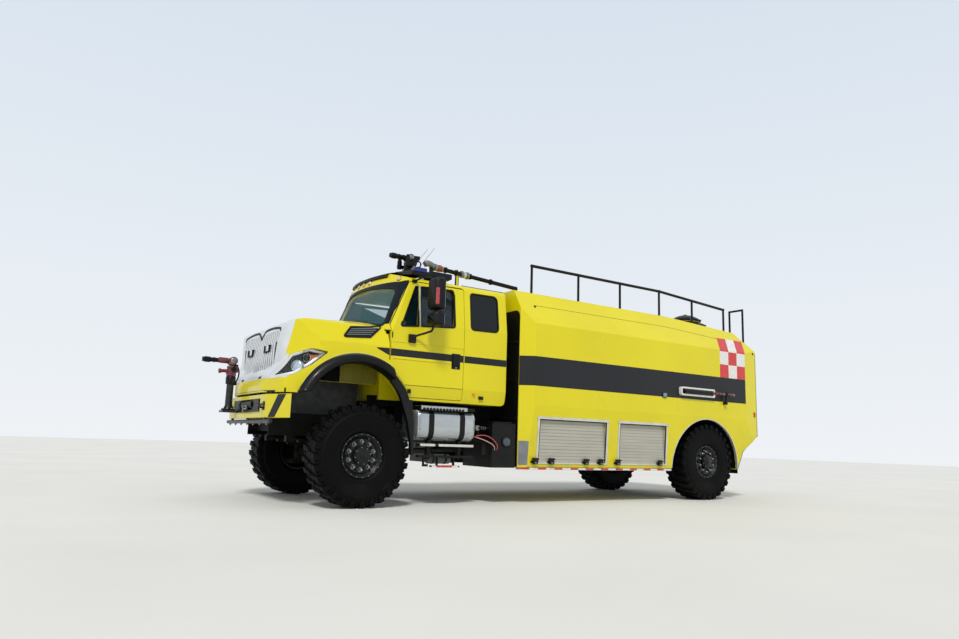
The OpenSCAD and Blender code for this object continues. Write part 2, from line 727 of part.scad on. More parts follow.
rail_rise = 3306 - roof_height;
rail_radius = 22;
post_places = [2599, 3479, 4335, 5209, 6000, 6815];
function roof_z(p) = p <= fall_start ? roof_height : roof_height - roof_fall*(p - fall_start)/(side_rear - fall_start);

module roof_rail(left) color(black) at_axle() side(left) difference() {
    y = roof_half - 40;
    top = [for (i = [0, 3, 5]) [-post_places[i], y, roof_z(post_places[i]) + rail_rise]];
    union() {
        for (p = post_places) rod([-p, y, roof_z(p) - 5], [-p, y, roof_z(p) + rail_rise], rail_radius - 4);
        for (i = [0, 1]) rod(top[i], top[i + 1], rail_radius);
        for (t = top) translate(t) sphere(r = rail_radius + 3);
    }
    body_form();
}
module roof_rail_left() roof_rail(true);
module roof_rail_right() roof_rail(false);

ladder_sides = [690, 966];
ladder_bottom = tail_bottom - 132;
hoop_top = roof_height + 358;
first_rung = tail_bottom + 148;
rung_pitch = 290;
rung_count = 5;
rung_radius = 14;
bracket_radius = 12;
// Upright hoop behind the tail, stood off it by brackets
module ladder() color(black) at_axle() {
    x = -tail - ladder_stand;
    for (y = ladder_sides) {
        rod([x, y, ladder_bottom], [x, y, hoop_top], ladder_radius);
        translate([x, y, hoop_top]) sphere(r = ladder_radius + 2);
        for (z = [tail_bottom + 20, tail_top - 114]) rod([x, y, z], [x + ladder_stand, y, z], bracket_radius);
    }
    for (i = [0:rung_count]) {
        z = i < rung_count ? first_rung + i*rung_pitch : hoop_top;
        rod([x, ladder_sides[0], z], [x, ladder_sides[1], z], i < rung_count ? rung_radius : ladder_radius);
    }
}

module mudflaps() color(black) at_axle() both_sides() translate([-arch_end, 0, skirt_bottom])
    across([[-flap_thickness, -flap_drop], [0, -flap_drop], [0, -seat],
        [-flap_thickness, flap_thickness*foot_rise/foot_run - seat]], flap_inner, flap_outer);

// Roof lids as X, Y, radius, height of the collar under them and their own height
lids = [[-6345, 500, 256, 150, 125], [-6730, 480, 105, 140, 70]];
lid_skirt = 35;
function collar_top(l) = roof_z(-l[0]) + l[3];
module lid_collar(l) translate([l[0], l[1], roof_z(-l[0]) - 60]) cylinder(h = 60 + l[3], r = l[2] - 16);
// Domed lid on its skirt; the dome's sphere passes through the skirt's upper edge
module tank_lid(l) color(black) at_axle() translate([l[0], l[1], collar_top(l) + seat]) {
    dome = l[4] - lid_skirt;
    bend = (l[2]*l[2] + dome*dome)/(2*dome);
    cylinder(h = lid_skirt, r = l[2]);
    intersection() {
        translate([0, 0, lid_skirt]) cylinder(h = dome + 1, r = l[2]);
        translate([0, 0, l[4] - bend]) sphere(r = bend, $fn = 72);
    }
}
module tank_lid_front() tank_lid(lids[0]);
module tank_lid_rear() tank_lid(lids[1]);

// Hood

nose_foot = [953, 1500];
nose_top = [885, 2040];
hood_rear = door_front - 9;

function hood_side(d) = rounded([
    [-hood_rear + d, 1200, 0], [-hood_rear + d, 2222 - d, 0], [-180 + d, 2240 - d, 0], [680, 2150 - d, 60],
    [nose_top.x - d, nose_top.y + 60 - d, 70], [nose_foot.x - d, nose_foot.y, 0],
        [nose_foot.x - d, 1200, 0]], 4);
function hood_front(d) = rounded(whole([
    [cab_half - 5 - d, 1200, 0], [cab_half - 5 - d, 1900, 40], [930 - d, 2150 - d, 60],
        [600, 2235 - d, 0]]), 4);
function hood_plan(d) = rounded([
    [-hood_rear + d, -cab_half, 0], [-hood_rear + d, cab_half, 0], [500, cab_half - d, 100],
        [900 - d, 900 - d, 140],
    [nose_foot.x - d, 0, 0], [900 - d, -900 + d, 140], [500, -cab_half + d, 100]], 4);
function fender_side(d) = rounded([
    [-hood_rear + d, 1200, 0], [-hood_rear + d, 1690 - d, 60], [-150, 1860 - d, 200], [150, 1900 - d, 200],
    [460, 1830 - d, 100], [850, 1745 - d, 90], [1000 - d, 1440, 60], [1030 - d, 1360, 20],
        [1030 - d, 1200, 0]], 4);
function fender_plan(d) = rounded([
    [-hood_rear + d, -fender_half + d, 0], [-hood_rear + d, fender_half - d, 0], [560, fender_half - d, 250],
    [900 - d, 960 - d, 180], [1030 - d, 560, 200], [1060 - d, 0, 0], [1030 - d, -560, 200],
        [900 - d, -960 + d, 180],
    [560, -fender_half + d, 250]], 4);
module hood_form(d) {
    intersection() {
        across(hood_side(d), -cab_half, cab_half);
        along(hood_front(d), -hood_rear, 1100);
        linear_extrude(3000) polygon(hood_plan(d));
    }
    intersection() {
        across(fender_side(d), -fender_half, fender_half);
        linear_extrude(3000) polygon(fender_plan(d));
    }
}
lamp_outline = [[450, 1752, 10], [640, 1785, 60], [845, 1705, 60], [985, 1470, 40], [985, 1425, 10],
    [800, 1480, 60],
    [620, 1600, 60]];
hood_edge = 1275;
// Side outline of the silver nose, open to the front; its rear edge is the seam on the hood
nose_outline = [[785, 2300], [803, 2092], [867, 1746], [867, 1440], [1200, 1440], [1200, 2300]];
module nose_space(d) across([for (p = nose_outline) [p.x + d, p.y + (p.y < 1500 ? d : 0)]], -fender_half,
    fender_half);
// Inner fender walls, cut low at the back to pass the scuttle: sides, and outline in X and Z
inner_fender_sides = [688, 700];
inner_fender = [[-hood_rear + hood_wall, 1450], [-hood_rear + hood_wall, 1800], [-200, 1800], [-200, 2300],
    [700, 2300], [700, 1450]];
module hood_shell() color(yellow) at_axle() difference() {
    union() {
        difference() {
            hood_form(0);
            hood_form(hood_wall);
            block([-1000, -2000, 0], [2000, 2000, hood_edge]);
            both_sides() disc(arch_centre.x, arch_centre.y, front_arch_radius, 700, fender_half + 1);
            both_sides() across(rounded(lamp_outline), lamp_inner, fender_half + 1);
            nose_space(0);
        }
        intersection() {
            both_sides() across(inner_fender, inner_fender_sides[0], inner_fender_sides[1]);
            hood_form(hood_wall - 1);
        }
    }
    hood_cowl();
}
lamp_inner = 700;
// Space for the cab and its windscreen behind the hood
module hood_cowl() {
    block([-600, -960, 1200], [-hood_rear + hood_wall, 960, 2170]);
    intersection() {
        screen_body(-12);
        block([-1000, -cab_half - 1, 2105], [500, cab_half + 1, 3000]);
    }
}
module grille_space(d) along(rounded(whole([[grille_width/2 - 110 - d, nose_top.y - grille_height + d, 40],
    [grille_width/2 - d, nose_top.y - d, 50]])), 700, 1200);

module grille() color(silver) at_axle() {
    difference() {
        intersection() {
            hood_form(0);
            nose_space(seat);
        }
        hood_form(hood_wall);
        grille_space(36);
        both_sides() across(rounded(lamp_outline), lamp_inner, fender_half + 1);
    }
    intersection() {
        difference() {
            hood_form(6);
            hood_form(hood_wall);
        }
        grille_space(36);
        for (i = [0:grille_bars - 1])
            translate([0, -grille_width/2 + grille_width*(i + 0.5)/grille_bars, 0])
                block([700, -14, 1400], [1200, 14, 2100]);
    }
}

// Round lamps in a headlamp as X, Y, Z, radius and turn outwards
round_lamps = [[800, 945, 1578, 62, 25], [672, 1015, 1662, 74, 40]];
lamp_depth = 90;
lamp_back = 14;
bezel = 24;
module lamp_space(d, y) across(rounded(shrink(lamp_outline, d)), y, fender_half + 2);
// Deep bezel with a closed back and two round lamps standing in it
module headlamps() color(silver) at_axle() both_sides() {
    difference() {
        intersection() {
            hood_form(2);
            lamp_space(seat, lamp_inner);
        }
        hood_form(lamp_depth);
        difference() {
            lamp_space(bezel, lamp_inner - 1);
            hood_form(lamp_depth - lamp_back);
        }
    }
    intersection() {
        for (l = round_lamps) translate([l[0], l[1], l[2]]) rotate([0, 90, l[4]])
            translate([0, 0, -60]) cylinder(h = 90, r = l[3]);
        difference() {
            hood_form(12);
            hood_form(lamp_depth);
        }
        lamp_space(bezel - 1, lamp_inner);
    }
}

flare_out = 85;
guard_width = 60;
module flare_ring() {
    difference() {
        union() {
            disc(arch_centre.x, arch_centre.y, front_arch_radius - seat, 1040, fender_half);
            disc(arch_centre.x, arch_centre.y, front_arch_radius + 36, fender_half + seat,
                fender_half + flare_out);
        }
        disc(arch_centre.x, arch_centre.y, front_arch_radius - flare_depth, 1000,
            fender_half + flare_out + 1);
    }
}
module hood_flares() color(black) at_axle() both_sides() intersection() {
    flare_ring();
    block([-hood_rear, 900, hood_edge + 15], [1500, 1400, 2000]);
}
module arch_guards() color(black) at_axle() both_sides() {
    intersection() {
        difference() {
            disc(arch_centre.x, arch_centre.y, front_arch_radius + 16, cab_half, cab_half + guard_width);
            disc(arch_centre.x, arch_centre.y, front_arch_radius - flare_depth, 1000,
                cab_half + guard_width + 1);
        }
        block([-2000, 900, cab_bottom], [-door_front - 8, 1400, 2000]);
    }
    across([[-538, cab_bottom], [-640, 1000], [-690, 760], [-702, 606], [-734, 606], [-726, 800],
        [-690, cab_bottom]],
        cab_half, cab_half + guard_width);
}

frame_rails();
front_axle();
rear_axle();
leaf_springs();
drivetrain();
fuel_tanks();
side_steps();
side_boxes();
bumper();
winch();
bumper_pipework();
cab_shell();
cab_glass();
cab_interior();
roof_lights();
roof_monitor_base();
roof_pipe();
tank_body();
locker_shutters();
roof_rail_left();
roof_rail_right();
ladder();
mudflaps();
arch_guards();
knuckle_left();
knuckle_right();
tyre_front_left();
tyre_front_right();
tyre_rear_left();
tyre_rear_right();
rim_front_left();
rim_front_right();
rim_rear_left();
rim_rear_right();
hood_shell();
grille();
headlamps();
hood_flares();
door_left();
door_right();
door_glass_left();
door_glass_right();
mirror_left();
mirror_right();
tank_lid_front();
tank_lid_rear();
bumper_monitor();
bumper_nozzle();
roof_monitor();
roof_nozzle();
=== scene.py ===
import math

import bmesh
import bpy
from mathutils import Matrix, Vector
from mathutils.bvhtree import BVHTree


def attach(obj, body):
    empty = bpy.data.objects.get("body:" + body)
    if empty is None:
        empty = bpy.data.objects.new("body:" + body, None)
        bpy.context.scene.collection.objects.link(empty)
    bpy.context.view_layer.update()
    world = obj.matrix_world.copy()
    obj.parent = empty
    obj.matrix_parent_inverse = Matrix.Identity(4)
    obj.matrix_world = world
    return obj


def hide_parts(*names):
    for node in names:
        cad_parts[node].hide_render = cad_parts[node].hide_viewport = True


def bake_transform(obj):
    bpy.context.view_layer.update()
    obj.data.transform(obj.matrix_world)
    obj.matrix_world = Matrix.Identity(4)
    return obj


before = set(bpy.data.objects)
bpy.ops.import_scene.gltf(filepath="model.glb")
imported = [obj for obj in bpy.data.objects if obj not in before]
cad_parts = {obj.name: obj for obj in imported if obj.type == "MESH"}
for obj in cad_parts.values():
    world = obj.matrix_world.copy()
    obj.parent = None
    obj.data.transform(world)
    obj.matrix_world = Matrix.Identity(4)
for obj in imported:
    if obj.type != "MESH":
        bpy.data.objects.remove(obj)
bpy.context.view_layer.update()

# Lengths in this script are metres from the front axle, forwards positive, left +Y.
AXLE = 2.9195
WHEELBASE = 5.945
HUB_Z = 0.59
WHEEL_Y = 1.07
CAB_Y = 1.03
BODY_Y = 1.275
BODY_FRONT, SIDE_FRONT, SIDE_REAR, TAIL = -2.267, -2.438, -6.914, -7.251
SHIFT = Vector((AXLE, 0, 0))

# Camera at the photograph's viewing angle

cam_data = bpy.data.cameras.new("camera")
cam_data.sensor_width = 36
cam_data.lens = 714.985/959*36
camera = bpy.data.objects.new("camera", cam_data)
bpy.context.scene.collection.objects.link(camera)
yaw, pitch, roll = (math.radians(a) for a in (-123.061, 9.677, 1.867))
ahead = Vector((math.cos(pitch)*math.cos(yaw), math.cos(pitch)*math.sin(yaw), math.sin(pitch)))
level = Vector((math.sin(yaw), -math.cos(yaw), 0))
rise = level.cross(ahead)
right = math.cos(roll)*level + math.sin(roll)*rise
up = -math.sin(roll)*level + math.cos(roll)*rise
turn = Matrix((right, up, -ahead)).transposed().to_4x4()
camera.matrix_world = Matrix.Translation((3.470 + AXLE, 8.929, 0.794)) @ turn
cam_data.clip_end = 300
bpy.context.scene.camera = camera
bpy.context.scene.view_settings.view_transform = "Standard"

# Light, floor and backdrop


def pale_for_view(tree, seen, lit):
    """Mixes what camera, glossy and transmission rays see with what lights the object."""
    path = tree.nodes.new("ShaderNodeLightPath")
    both = tree.nodes.new("ShaderNodeMath")
    both.operation = "MAXIMUM"
    more = tree.nodes.new("ShaderNodeMath")
    more.operation = "MAXIMUM"
    mix = tree.nodes.new("ShaderNodeMixShader")
    link = tree.links.new
    link(path.outputs["Is Camera Ray"], both.inputs[0])
    link(path.outputs["Is Glossy Ray"], both.inputs[1])
    link(both.outputs[0], more.inputs[0])
    link(path.outputs["Is Transmission Ray"], more.inputs[1])
    link(more.outputs[0], mix.inputs[0])
    link(lit.outputs[0], mix.inputs[1])
    link(seen.outputs[0], mix.inputs[2])
    return mix


world = bpy.data.worlds.new("studio")
bpy.context.scene.world = world
world.use_nodes = True
sky = world.node_tree
seen = sky.nodes["Background"]
place = sky.nodes.new("ShaderNodeTexCoord")
parts = sky.nodes.new("ShaderNodeSeparateXYZ")
ramp = sky.nodes.new("ShaderNodeValToRGB")
ramp.color_ramp.elements[0].position = 0.0
ramp.color_ramp.elements[0].color = (0.86, 0.89, 0.92, 1)
ramp.color_ramp.elements[1].position = 0.75
ramp.color_ramp.elements[1].color = (0.62, 0.72, 0.84, 1)
sky.links.new(place.outputs["Generated"], parts.inputs[0])
sky.links.new(parts.outputs["Z"], ramp.inputs[0])
sky.links.new(ramp.outputs[0], seen.inputs[0])
lit = sky.nodes.new("ShaderNodeBackground")
lit.inputs[0].default_value = (0.94, 0.97, 1.0, 1)
lit.inputs[1].default_value = 0.62
sky.links.new(pale_for_view(sky, seen, lit).outputs[0], sky.nodes["World Output"].inputs[0])

sun = bpy.data.objects.new("sun", bpy.data.lights.new("sun", "SUN"))
sun.data.energy = 2.3
sun.data.angle = math.radians(9)
sun.data.color = (1.0, 0.97, 0.92)
sun.rotation_mode = "QUATERNION"
sun.rotation_quaternion = Vector((0.45, 0.62, 0.85)).to_track_quat("Z", "Y")
bpy.context.scene.collection.objects.link(sun)

# Materials

MATERIALS = {}


def linear(code):
    """Linear colour of a hexadecimal one."""
    values = [int(code[i:i + 2], 16)/255 for i in (0, 2, 4)]
    return [v/12.92 if v <= 0.04045 else ((v + 0.055)/1.055)**2.4 for v in values] + [1]


def material(name, colour, second=None, rough=0.5, metal=0.0, coat=0.0, grain=2.0, stretch=(1, 1, 1), spread=0.5,
             bump=0.0, bump_grain=40.0, rough_spread=0.08, dust=0.0, dust_top=1.3, alpha=1.0, glow=0.0, sheen=0.0,
             weave=None, transmission=0.0, specular=0.5, edge=None, painted_top_sheen=None):
    """Procedural finish: two shades blended by noise, uneven roughness, fine relief, worn edges, dust low down and,
    where given, a painted sheen that lightens upward faces.
    """
    made = bpy.data.materials.new(name)
    made.use_nodes = True
    tree = made.node_tree
    shader = tree.nodes["Principled BSDF"]
    new, link = tree.nodes.new, tree.links.new
    spot = new("ShaderNodeTexCoord")
    mapping = new("ShaderNodeMapping")
    mapping.inputs["Scale"].default_value = stretch
    link(spot.outputs["Object"], mapping.inputs["Vector"])

    def noise(scale, detail=4.0, plain=False):
        node = new("ShaderNodeTexNoise")
        node.inputs["Scale"].default_value = scale
        node.inputs["Detail"].default_value = detail
        link((spot.outputs["Object"] if plain else mapping.outputs["Vector"]), node.inputs["Vector"])
        return node

    def blend(kind, factor, a, b):
        node = new("ShaderNodeMix")
        node.data_type = kind
        link(factor, node.inputs["Factor"])
        first, other, out = (6, 7, 2) if kind == "RGBA" else (2, 3, 0)
        for socket, value in ((first, a), (other, b)):
            if hasattr(value, "links"):
                link(value, node.inputs[socket])
            else:
                node.inputs[socket].default_value = value
        return node.outputs[out]

    def spreading(value, low, high):
        node = new("ShaderNodeMapRange")
        node.inputs["From Min"].default_value = low
        node.inputs["From Max"].default_value = high
        link(value, node.inputs["Value"])
        return node.outputs["Result"]

    base = linear(colour)
    other = linear(second) if second else [c*0.86 for c in base[:3]] + [1]
    patches = spreading(noise(grain).outputs["Fac"], 0.5 - spread/2, 0.5 + spread/2)
    colour_out = blend("RGBA", patches, base, other)
    rough_out = blend("FLOAT", noise(grain*3).outputs["Fac"], max(rough - rough_spread, 0.0), rough + rough_spread)
    if weave:
        wave = new("ShaderNodeTexWave")
        wave.bands_direction = weave[0]
        wave.inputs["Scale"].default_value = weave[1]
        wave.inputs["Distortion"].default_value = weave[2]
        link(spot.outputs["Object"], wave.inputs["Vector"])
        shade = blend("RGBA", wave.outputs["Fac"], [c*0.8 for c in base[:3]] + [1], base)
        colour_out = blend("RGBA", patches, shade, colour_out)
    # Painted sheen: faces turned upwards blend towards a paler colour, standing in for the sky's reflection.
    if painted_top_sheen:
        facing = new("ShaderNodeNewGeometry")
        way = new("ShaderNodeSeparateXYZ")
        link(facing.outputs["Normal"], way.inputs[0])
        colour_out = blend("RGBA", spreading(way.outputs["Z"], 0.74, 1.12), colour_out, linear(painted_top_sheen))
    if edge:
        soft = new("ShaderNodeBevel")
        soft.samples = 4
        soft.inputs["Radius"].default_value = 0.006
        plain_normal = new("ShaderNodeNewGeometry")
        gap = new("ShaderNodeVectorMath")
        gap.operation = "DISTANCE"
        link(soft.outputs[0], gap.inputs[0])
        link(plain_normal.outputs["Normal"], gap.inputs[1])
        worn = new("ShaderNodeMath")
        worn.operation = "MULTIPLY"
        link(spreading(gap.outputs["Value"], 0.1, 0.6), worn.inputs[0])
        link(spreading(noise(9.0, 6.0, True).outputs["Fac"], 0.42, 0.72), worn.inputs[1])
        colour_out = blend("RGBA", worn.outputs[0], colour_out, linear(edge))
        rough_out = blend("FLOAT", worn.outputs[0], rough_out, min(1.0, rough + 0.15))
    if dust:
        split = new("ShaderNodeSeparateXYZ")
        link(spot.outputs["Object"], split.inputs[0])
        low = spreading(split.outputs["Z"], dust_top, 0.25)
        cloud = spreading(noise(5.0, 6.0, True).outputs["Fac"], 0.35, 0.75)
        amount = new("ShaderNodeMath")
        amount.operation = "MULTIPLY"
        link(low, amount.inputs[0])
        link(cloud, amount.inputs[1])
        held = new("ShaderNodeMath")
        held.operation = "MULTIPLY"
        held.inputs[1].default_value = dust
        link(amount.outputs[0], held.inputs[0])
        colour_out = blend("RGBA", held.outputs[0], colour_out, linear("6f6a5e"))
        rough_out = blend("FLOAT", held.outputs[0], rough_out, 0.9)
    link(colour_out, shader.inputs["Base Color"])
    link(rough_out, shader.inputs["Roughness"])
    if bump:
        relief = new("ShaderNodeBump")
        relief.inputs["Strength"].default_value = min(1.0, bump)
        relief.inputs["Distance"].default_value = 0.002
        source = wave if weave else noise(bump_grain, 3.0)
        link(source.outputs["Fac"], relief.inputs["Height"])
        if edge:
            link(soft.outputs[0], relief.inputs["Normal"])
        link(relief.outputs["Normal"], shader.inputs["Normal"])
    shader.inputs["Metallic"].default_value = metal
    shader.inputs["Coat Weight"].default_value = coat
    shader.inputs["Coat Roughness"].default_value = 0.06
    shader.inputs["Alpha"].default_value = alpha
    shader.inputs["Transmission Weight"].default_value = transmission
    shader.inputs["Sheen Weight"].default_value = sheen
    shader.inputs["Specular IOR Level"].default_value = specular
    if glow:
        shader.inputs["Emission Color"].default_value = base
        shader.inputs["Emission Strength"].default_value = glow
    MATERIALS[name] = made
    return made


material("yellow_paint", "dbcf00", "d1c400", rough=0.30, coat=0.3, grain=0.9, bump=0.06, bump_grain=260, dust=0.3,
         specular=0.35, edge="e6dc4a")
# Darker, duller copy of the yellow paint for surfaces in shade: painted shade, with some dust.
material("painted_shade_yellow", "8a8200", "6b6400", rough=0.6, grain=2.5, bump=0.2, dust=0.5, dust_top=1.6)
# Paler yellow: a painted highlight along the edges of the front arches.
material("painted_highlight_yellow", "e9e26a", "ddd650", rough=0.35, coat=0.4, grain=5, bump=0.05, bump_grain=200)
material("stripe_film", "1c1e22", "17191d", rough=0.42, coat=0.1, grain=2.0, bump=0.04, bump_grain=200, specular=0.25)
material("black_paint", "0a0b0c", "060707", rough=0.38, coat=0.05, grain=3.0, bump=0.15, bump_grain=90, dust=0.06,
         specular=0.2, edge="232426")
material("chassis_black", "080808", "0f0e0d", rough=0.55, grain=5.0, bump=0.5, bump_grain=60, dust=0.15, specular=0.15,
         edge="1e1d1c")
material("black_plastic", "0b0c0d", "111213", rough=0.45, grain=6.0, bump=0.4, bump_grain=420, dust=0.05, specular=0.25)
# Black rubber of the flares, with a painted sky sheen on its upward faces.
material("flare_rubber", "0b0c0d", "101113", rough=0.4, coat=0.08, grain=5.0, bump=0.2, bump_grain=300, specular=0.16,
         painted_top_sheen="7d8387")
material("liner_black", "08090a", "0d0e0f", rough=0.8, grain=6.0, bump=0.4, bump_grain=120, specular=0.1)
material("rubber", "030304", "060606", rough=0.6, grain=7.0, bump=0.5, bump_grain=150, dust=0.03, dust_top=0.3,
         specular=0.1)
material("seal", "0a0b0c", "111213", rough=0.6, grain=20, bump=0.2, bump_grain=300, specular=0.25)
material("rim_paint", "070809", "0c0d0e", rough=0.38, coat=0.08, grain=12, bump=0.2, bump_grain=120, dust=0.05,
         specular=0.25, edge="232425")
material("oily_steel", "4a4c4e", "2f2e2c", rough=0.5, metal=0.6, grain=9, bump=0.5, bump_grain=70, dust=0.4)
material("grey_metal", "8c8f91", "75777a", rough=0.38, metal=0.7, grain=6, bump=0.2, bump_grain=160, dust=0.2)
material("aluminium", "c9cbcd", "a9acaf", rough=0.3, metal=0.9, grain=3, stretch=(6, 1, 1), bump=0.25,
         bump_grain=240, dust=0.15)
material("tank_metal", "c3c8c9", "a9afb2", rough=0.2, metal=0.75, grain=2.2, stretch=(1, 3, 5), bump=0.12,
         bump_grain=200, dust=0.12, dust_top=1.1, edge="f4f6f6")
material("tank_green", "5d6a60", "4b564e", rough=0.45, metal=0.2, grain=9, bump=0.25, bump_grain=140, dust=0.35)
material("nut_steel", "a9abad", "6f7173", rough=0.22, metal=0.9, grain=34, bump=0.2, bump_grain=300)
material("coupling_red", "9c3a33", "7a2b27", rough=0.4, coat=0.3, grain=18, bump=0.15, bump_grain=200)
material("bright_trim", "dcdcd6", "c2c2bc", rough=0.32, metal=0.5, grain=8, bump=0.1, bump_grain=200, dust=0.12)
material("shutter", "b6b4a8", "a8a699", rough=0.42, metal=0.2, grain=2.5, stretch=(0.4, 1, 8), bump=0.2,
         bump_grain=180, dust=0.15)
material("silver_paint", "dcdfe2", "cdd1d5", rough=0.34, metal=0.35, coat=0.3, grain=5, bump=0.05, bump_grain=200)
material("slat_grey", "75797c", "5f6366", rough=0.4, metal=0.2, grain=14, bump=0.2, bump_grain=240)
material("chrome", "dfe2e5", "c6cacf", rough=0.08, metal=1.0, grain=9, rough_spread=0.04, bump=0.03, bump_grain=120)
material("zinc", "9a9a96", "6f6e69", rough=0.4, metal=0.85, grain=40, bump=0.3, bump_grain=300)
material("rope_steel", "5c5e5f", "3a3b3b", rough=0.45, metal=0.8, grain=60, bump=0.6, bump_grain=500)
material("window", "0c2a33", "08222b", rough=0.05, coat=1.0, grain=1.5, alpha=0.30, rough_spread=0.02, specular=0.6)
material("screen_glass", "7cc0cf", "66aebd", rough=0.05, coat=1.0, grain=1.2, alpha=0.10, rough_spread=0.02,
         specular=0.6)
material("dark_window", "12181b", "0d1215", rough=0.22, coat=0.2, grain=1.5, alpha=0.97, rough_spread=0.03, specular=0.2)
material("lamp_glass", "c9d3d8", "b4c0c8", rough=0.04, coat=1.0, grain=6, alpha=0.22, rough_spread=0.02)
material("lamp_cover", "9aa6ae", "8a969f", rough=0.10, coat=0.1, grain=5, alpha=0.05, rough_spread=0.02)
material("screen_band", "0b151a", "091217", rough=0.40, grain=1.4, rough_spread=0.03, bump=0.02, specular=0.15)
material("teal_lens", "1f3d45", "17323a", rough=0.12, coat=1.0, grain=18, bump=0.3, bump_grain=240)
material("pipe_dark", "3a3c3e", "222325", rough=0.36, metal=0.6, grain=14, bump=0.2, bump_grain=160, edge="6a6d70")
material("lamp_black", "07080a", "0e0f12", rough=0.5, grain=14, bump=0.02, specular=0.2)
material("smoke_lens", "6f8f98", "587680", rough=0.1, coat=1.0, grain=18, bump=0.3, bump_grain=240)
material("reflector", "cddae4", "aebdc9", rough=0.22, metal=0.55, grain=22, rough_spread=0.04, bump=0.03, bump_grain=80)
material("amber_lens", "e8731a", "c95a0c", rough=0.12, coat=1.0, grain=30, bump=0.4, bump_grain=260, glow=0.15)
material("pale_amber", "d9b48a", "c7a078", rough=0.14, coat=1.0, grain=30, bump=0.3, bump_grain=260)
material("red_lens", "b3161a", "8c0d12", rough=0.12, coat=1.0, grain=30, bump=0.4, bump_grain=260, glow=0.1)
material("blue_lens", "10247a", "0a1850", rough=0.2, coat=0.2, grain=24, bump=0.4, bump_grain=260, glow=0.04)
material("white_lens", "dfe5ea", "c5ced6", rough=0.1, coat=1.0, grain=24, bump=0.3, bump_grain=260)
material("tape_red", "cf2b26", "b8211e", rough=0.3, coat=0.4, grain=16, bump=0.25, bump_grain=900)
material("tape_white", "e4e3df", "cfceca", rough=0.3, coat=0.4, grain=16, bump=0.25, bump_grain=900)
material("monitor_red", "6d1626", "4c0f1b", rough=0.35, coat=0.5, grain=12, bump=0.15, bump_grain=120, edge="8c2c3c")
material("hose_rubber", "0f1012", "0a0b0c", rough=0.6, grain=20, bump=0.4, bump_grain=350, specular=0.25)
material("wire_red", "b0544b", "8c3530", rough=0.55, grain=25, bump=0.2)
material("wire_pink", "c79a94", "a8736d", rough=0.5, grain=25, bump=0.2)
material("seat_cloth", "23262a", "2e3136", rough=0.9, grain=30, sheen=0.3, bump=0.6, weave=("DIAGONAL", 180, 1.5))
material("trim_grey", "5a5d60", "4c4f52", rough=0.7, grain=12, bump=0.5, bump_grain=380)
material("dash_black", "16181a", "1f2123", rough=0.65, grain=12, bump=0.5, bump_grain=380)
material("mirror_glass", "b8c4cc", "a4b2bc", rough=0.03, metal=1.0, grain=3, rough_spread=0.02)
material("floor_paint", "dcdcd8", "d4d4d0", rough=0.8, grain=0.4, bump=0.1, bump_grain=20)

CAD_FINISH = {
    "yellow_paint": ["cab_shell", "tank_body", "hood_shell", "door_left", "door_right", "bumper"],
    "chassis_black": ["frame_rails", "front_axle", "rear_axle", "leaf_springs", "knuckle_left", "knuckle_right"],
    "oily_steel": ["drivetrain"],
    "tank_metal": ["fuel_tanks"],
    "black_paint": ["side_steps", "side_boxes", "winch", "roof_monitor_base", "roof_pipe", "roof_rail_left",
                    "roof_rail_right", "ladder", "tank_lid_front", "tank_lid_rear", "bumper_nozzle", "roof_monitor",
                    "roof_nozzle"],
    "pipe_dark": ["bumper_pipework"],
    "screen_glass": ["cab_glass"],
    "window": ["door_glass_left", "door_glass_right"],
    "trim_grey": ["cab_interior"],
    "black_plastic": ["roof_lights", "arch_guards", "mirror_left", "mirror_right"],
    "flare_rubber": ["hood_flares"],
    "shutter": ["locker_shutters"],
    "rubber": ["mudflaps", "tyre_front_left", "tyre_front_right", "tyre_rear_left", "tyre_rear_right"],
    "rim_paint": ["rim_front_left", "rim_front_right", "rim_rear_left", "rim_rear_right"],
    "silver_paint": ["grille"],
    "lamp_black": ["headlamps"],
    "monitor_red": ["bumper_monitor"],
}
for finish, nodes in CAD_FINISH.items():
    for node in nodes:
        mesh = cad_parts[node].data
        mesh.materials.clear()
        mesh.materials.append(MATERIALS[finish])


# Outlines

def fillet(points, steps=5):
    """Closed outline from points given as u, v and corner radius."""
    out = []
    count = len(points)
    for i, (u, v, radius) in enumerate(points):
        here = Vector((u, v))
        if radius <= 0:
            out.append(here)
            continue
        to_last = (Vector(points[i - 1][:2]) - here).normalized()
        to_next = (Vector(points[(i + 1) % count][:2]) - here).normalized()
        half = math.acos(max(-1, min(1, to_last.dot(to_next))))/2
        centre = here + (to_last + to_next).normalized()*radius/math.sin(half)
        first = here + to_last*radius/math.tan(half) - centre
        last = here + to_next*radius/math.tan(half) - centre
        start = math.atan2(first.y, first.x)
        sweep = (math.pi - 2*half)*(1 if first.cross(last) > 0 else -1)
        out += [centre + radius*Vector((math.cos(start + sweep*k/steps), math.sin(start + sweep*k/steps)))
                for k in range(steps + 1)]
    return out


def grown(points, amount):
    """Closed outline moved outwards by amount."""
    count = len(points)
    area = sum(points[i - 1].cross(points[i]) for i in range(count))
    side = 1 if area > 0 else -1
    out = []
    for i, here in enumerate(points):
        before = (here - points[i - 1]).normalized()
        after = (points[(i + 1) % count] - here).normalized()
        bisector = Vector((before.y + after.y, -before.x - after.x))
        if bisector.length < 1e-6:
            bisector = Vector((before.y, -before.x))
        bisector.normalize()
        cosine = max(0.35, bisector.dot(Vector((before.y, -before.x))))
        out.append(here + bisector*side*amount/cosine)
    return out


def smooth_path(points, steps=8):
    """Points of a smooth curve through the given ones."""
    pts = [Vector(p) for p in points]
    ends = [2*pts[0] - pts[1]] + pts + [2*pts[-1] - pts[-2]]
    out = []
    for i in range(len(pts) - 1):
        a, b, c, d = ends[i:i + 4]
        for k in range(steps):
            t = k/steps
            out.append(0.5*(2*b + (c - a)*t + (2*a - 5*b + 4*c - d)*t*t + (3*b - a - 3*c + d)*t**3))
    return out + [pts[-1]]


# Mesh building

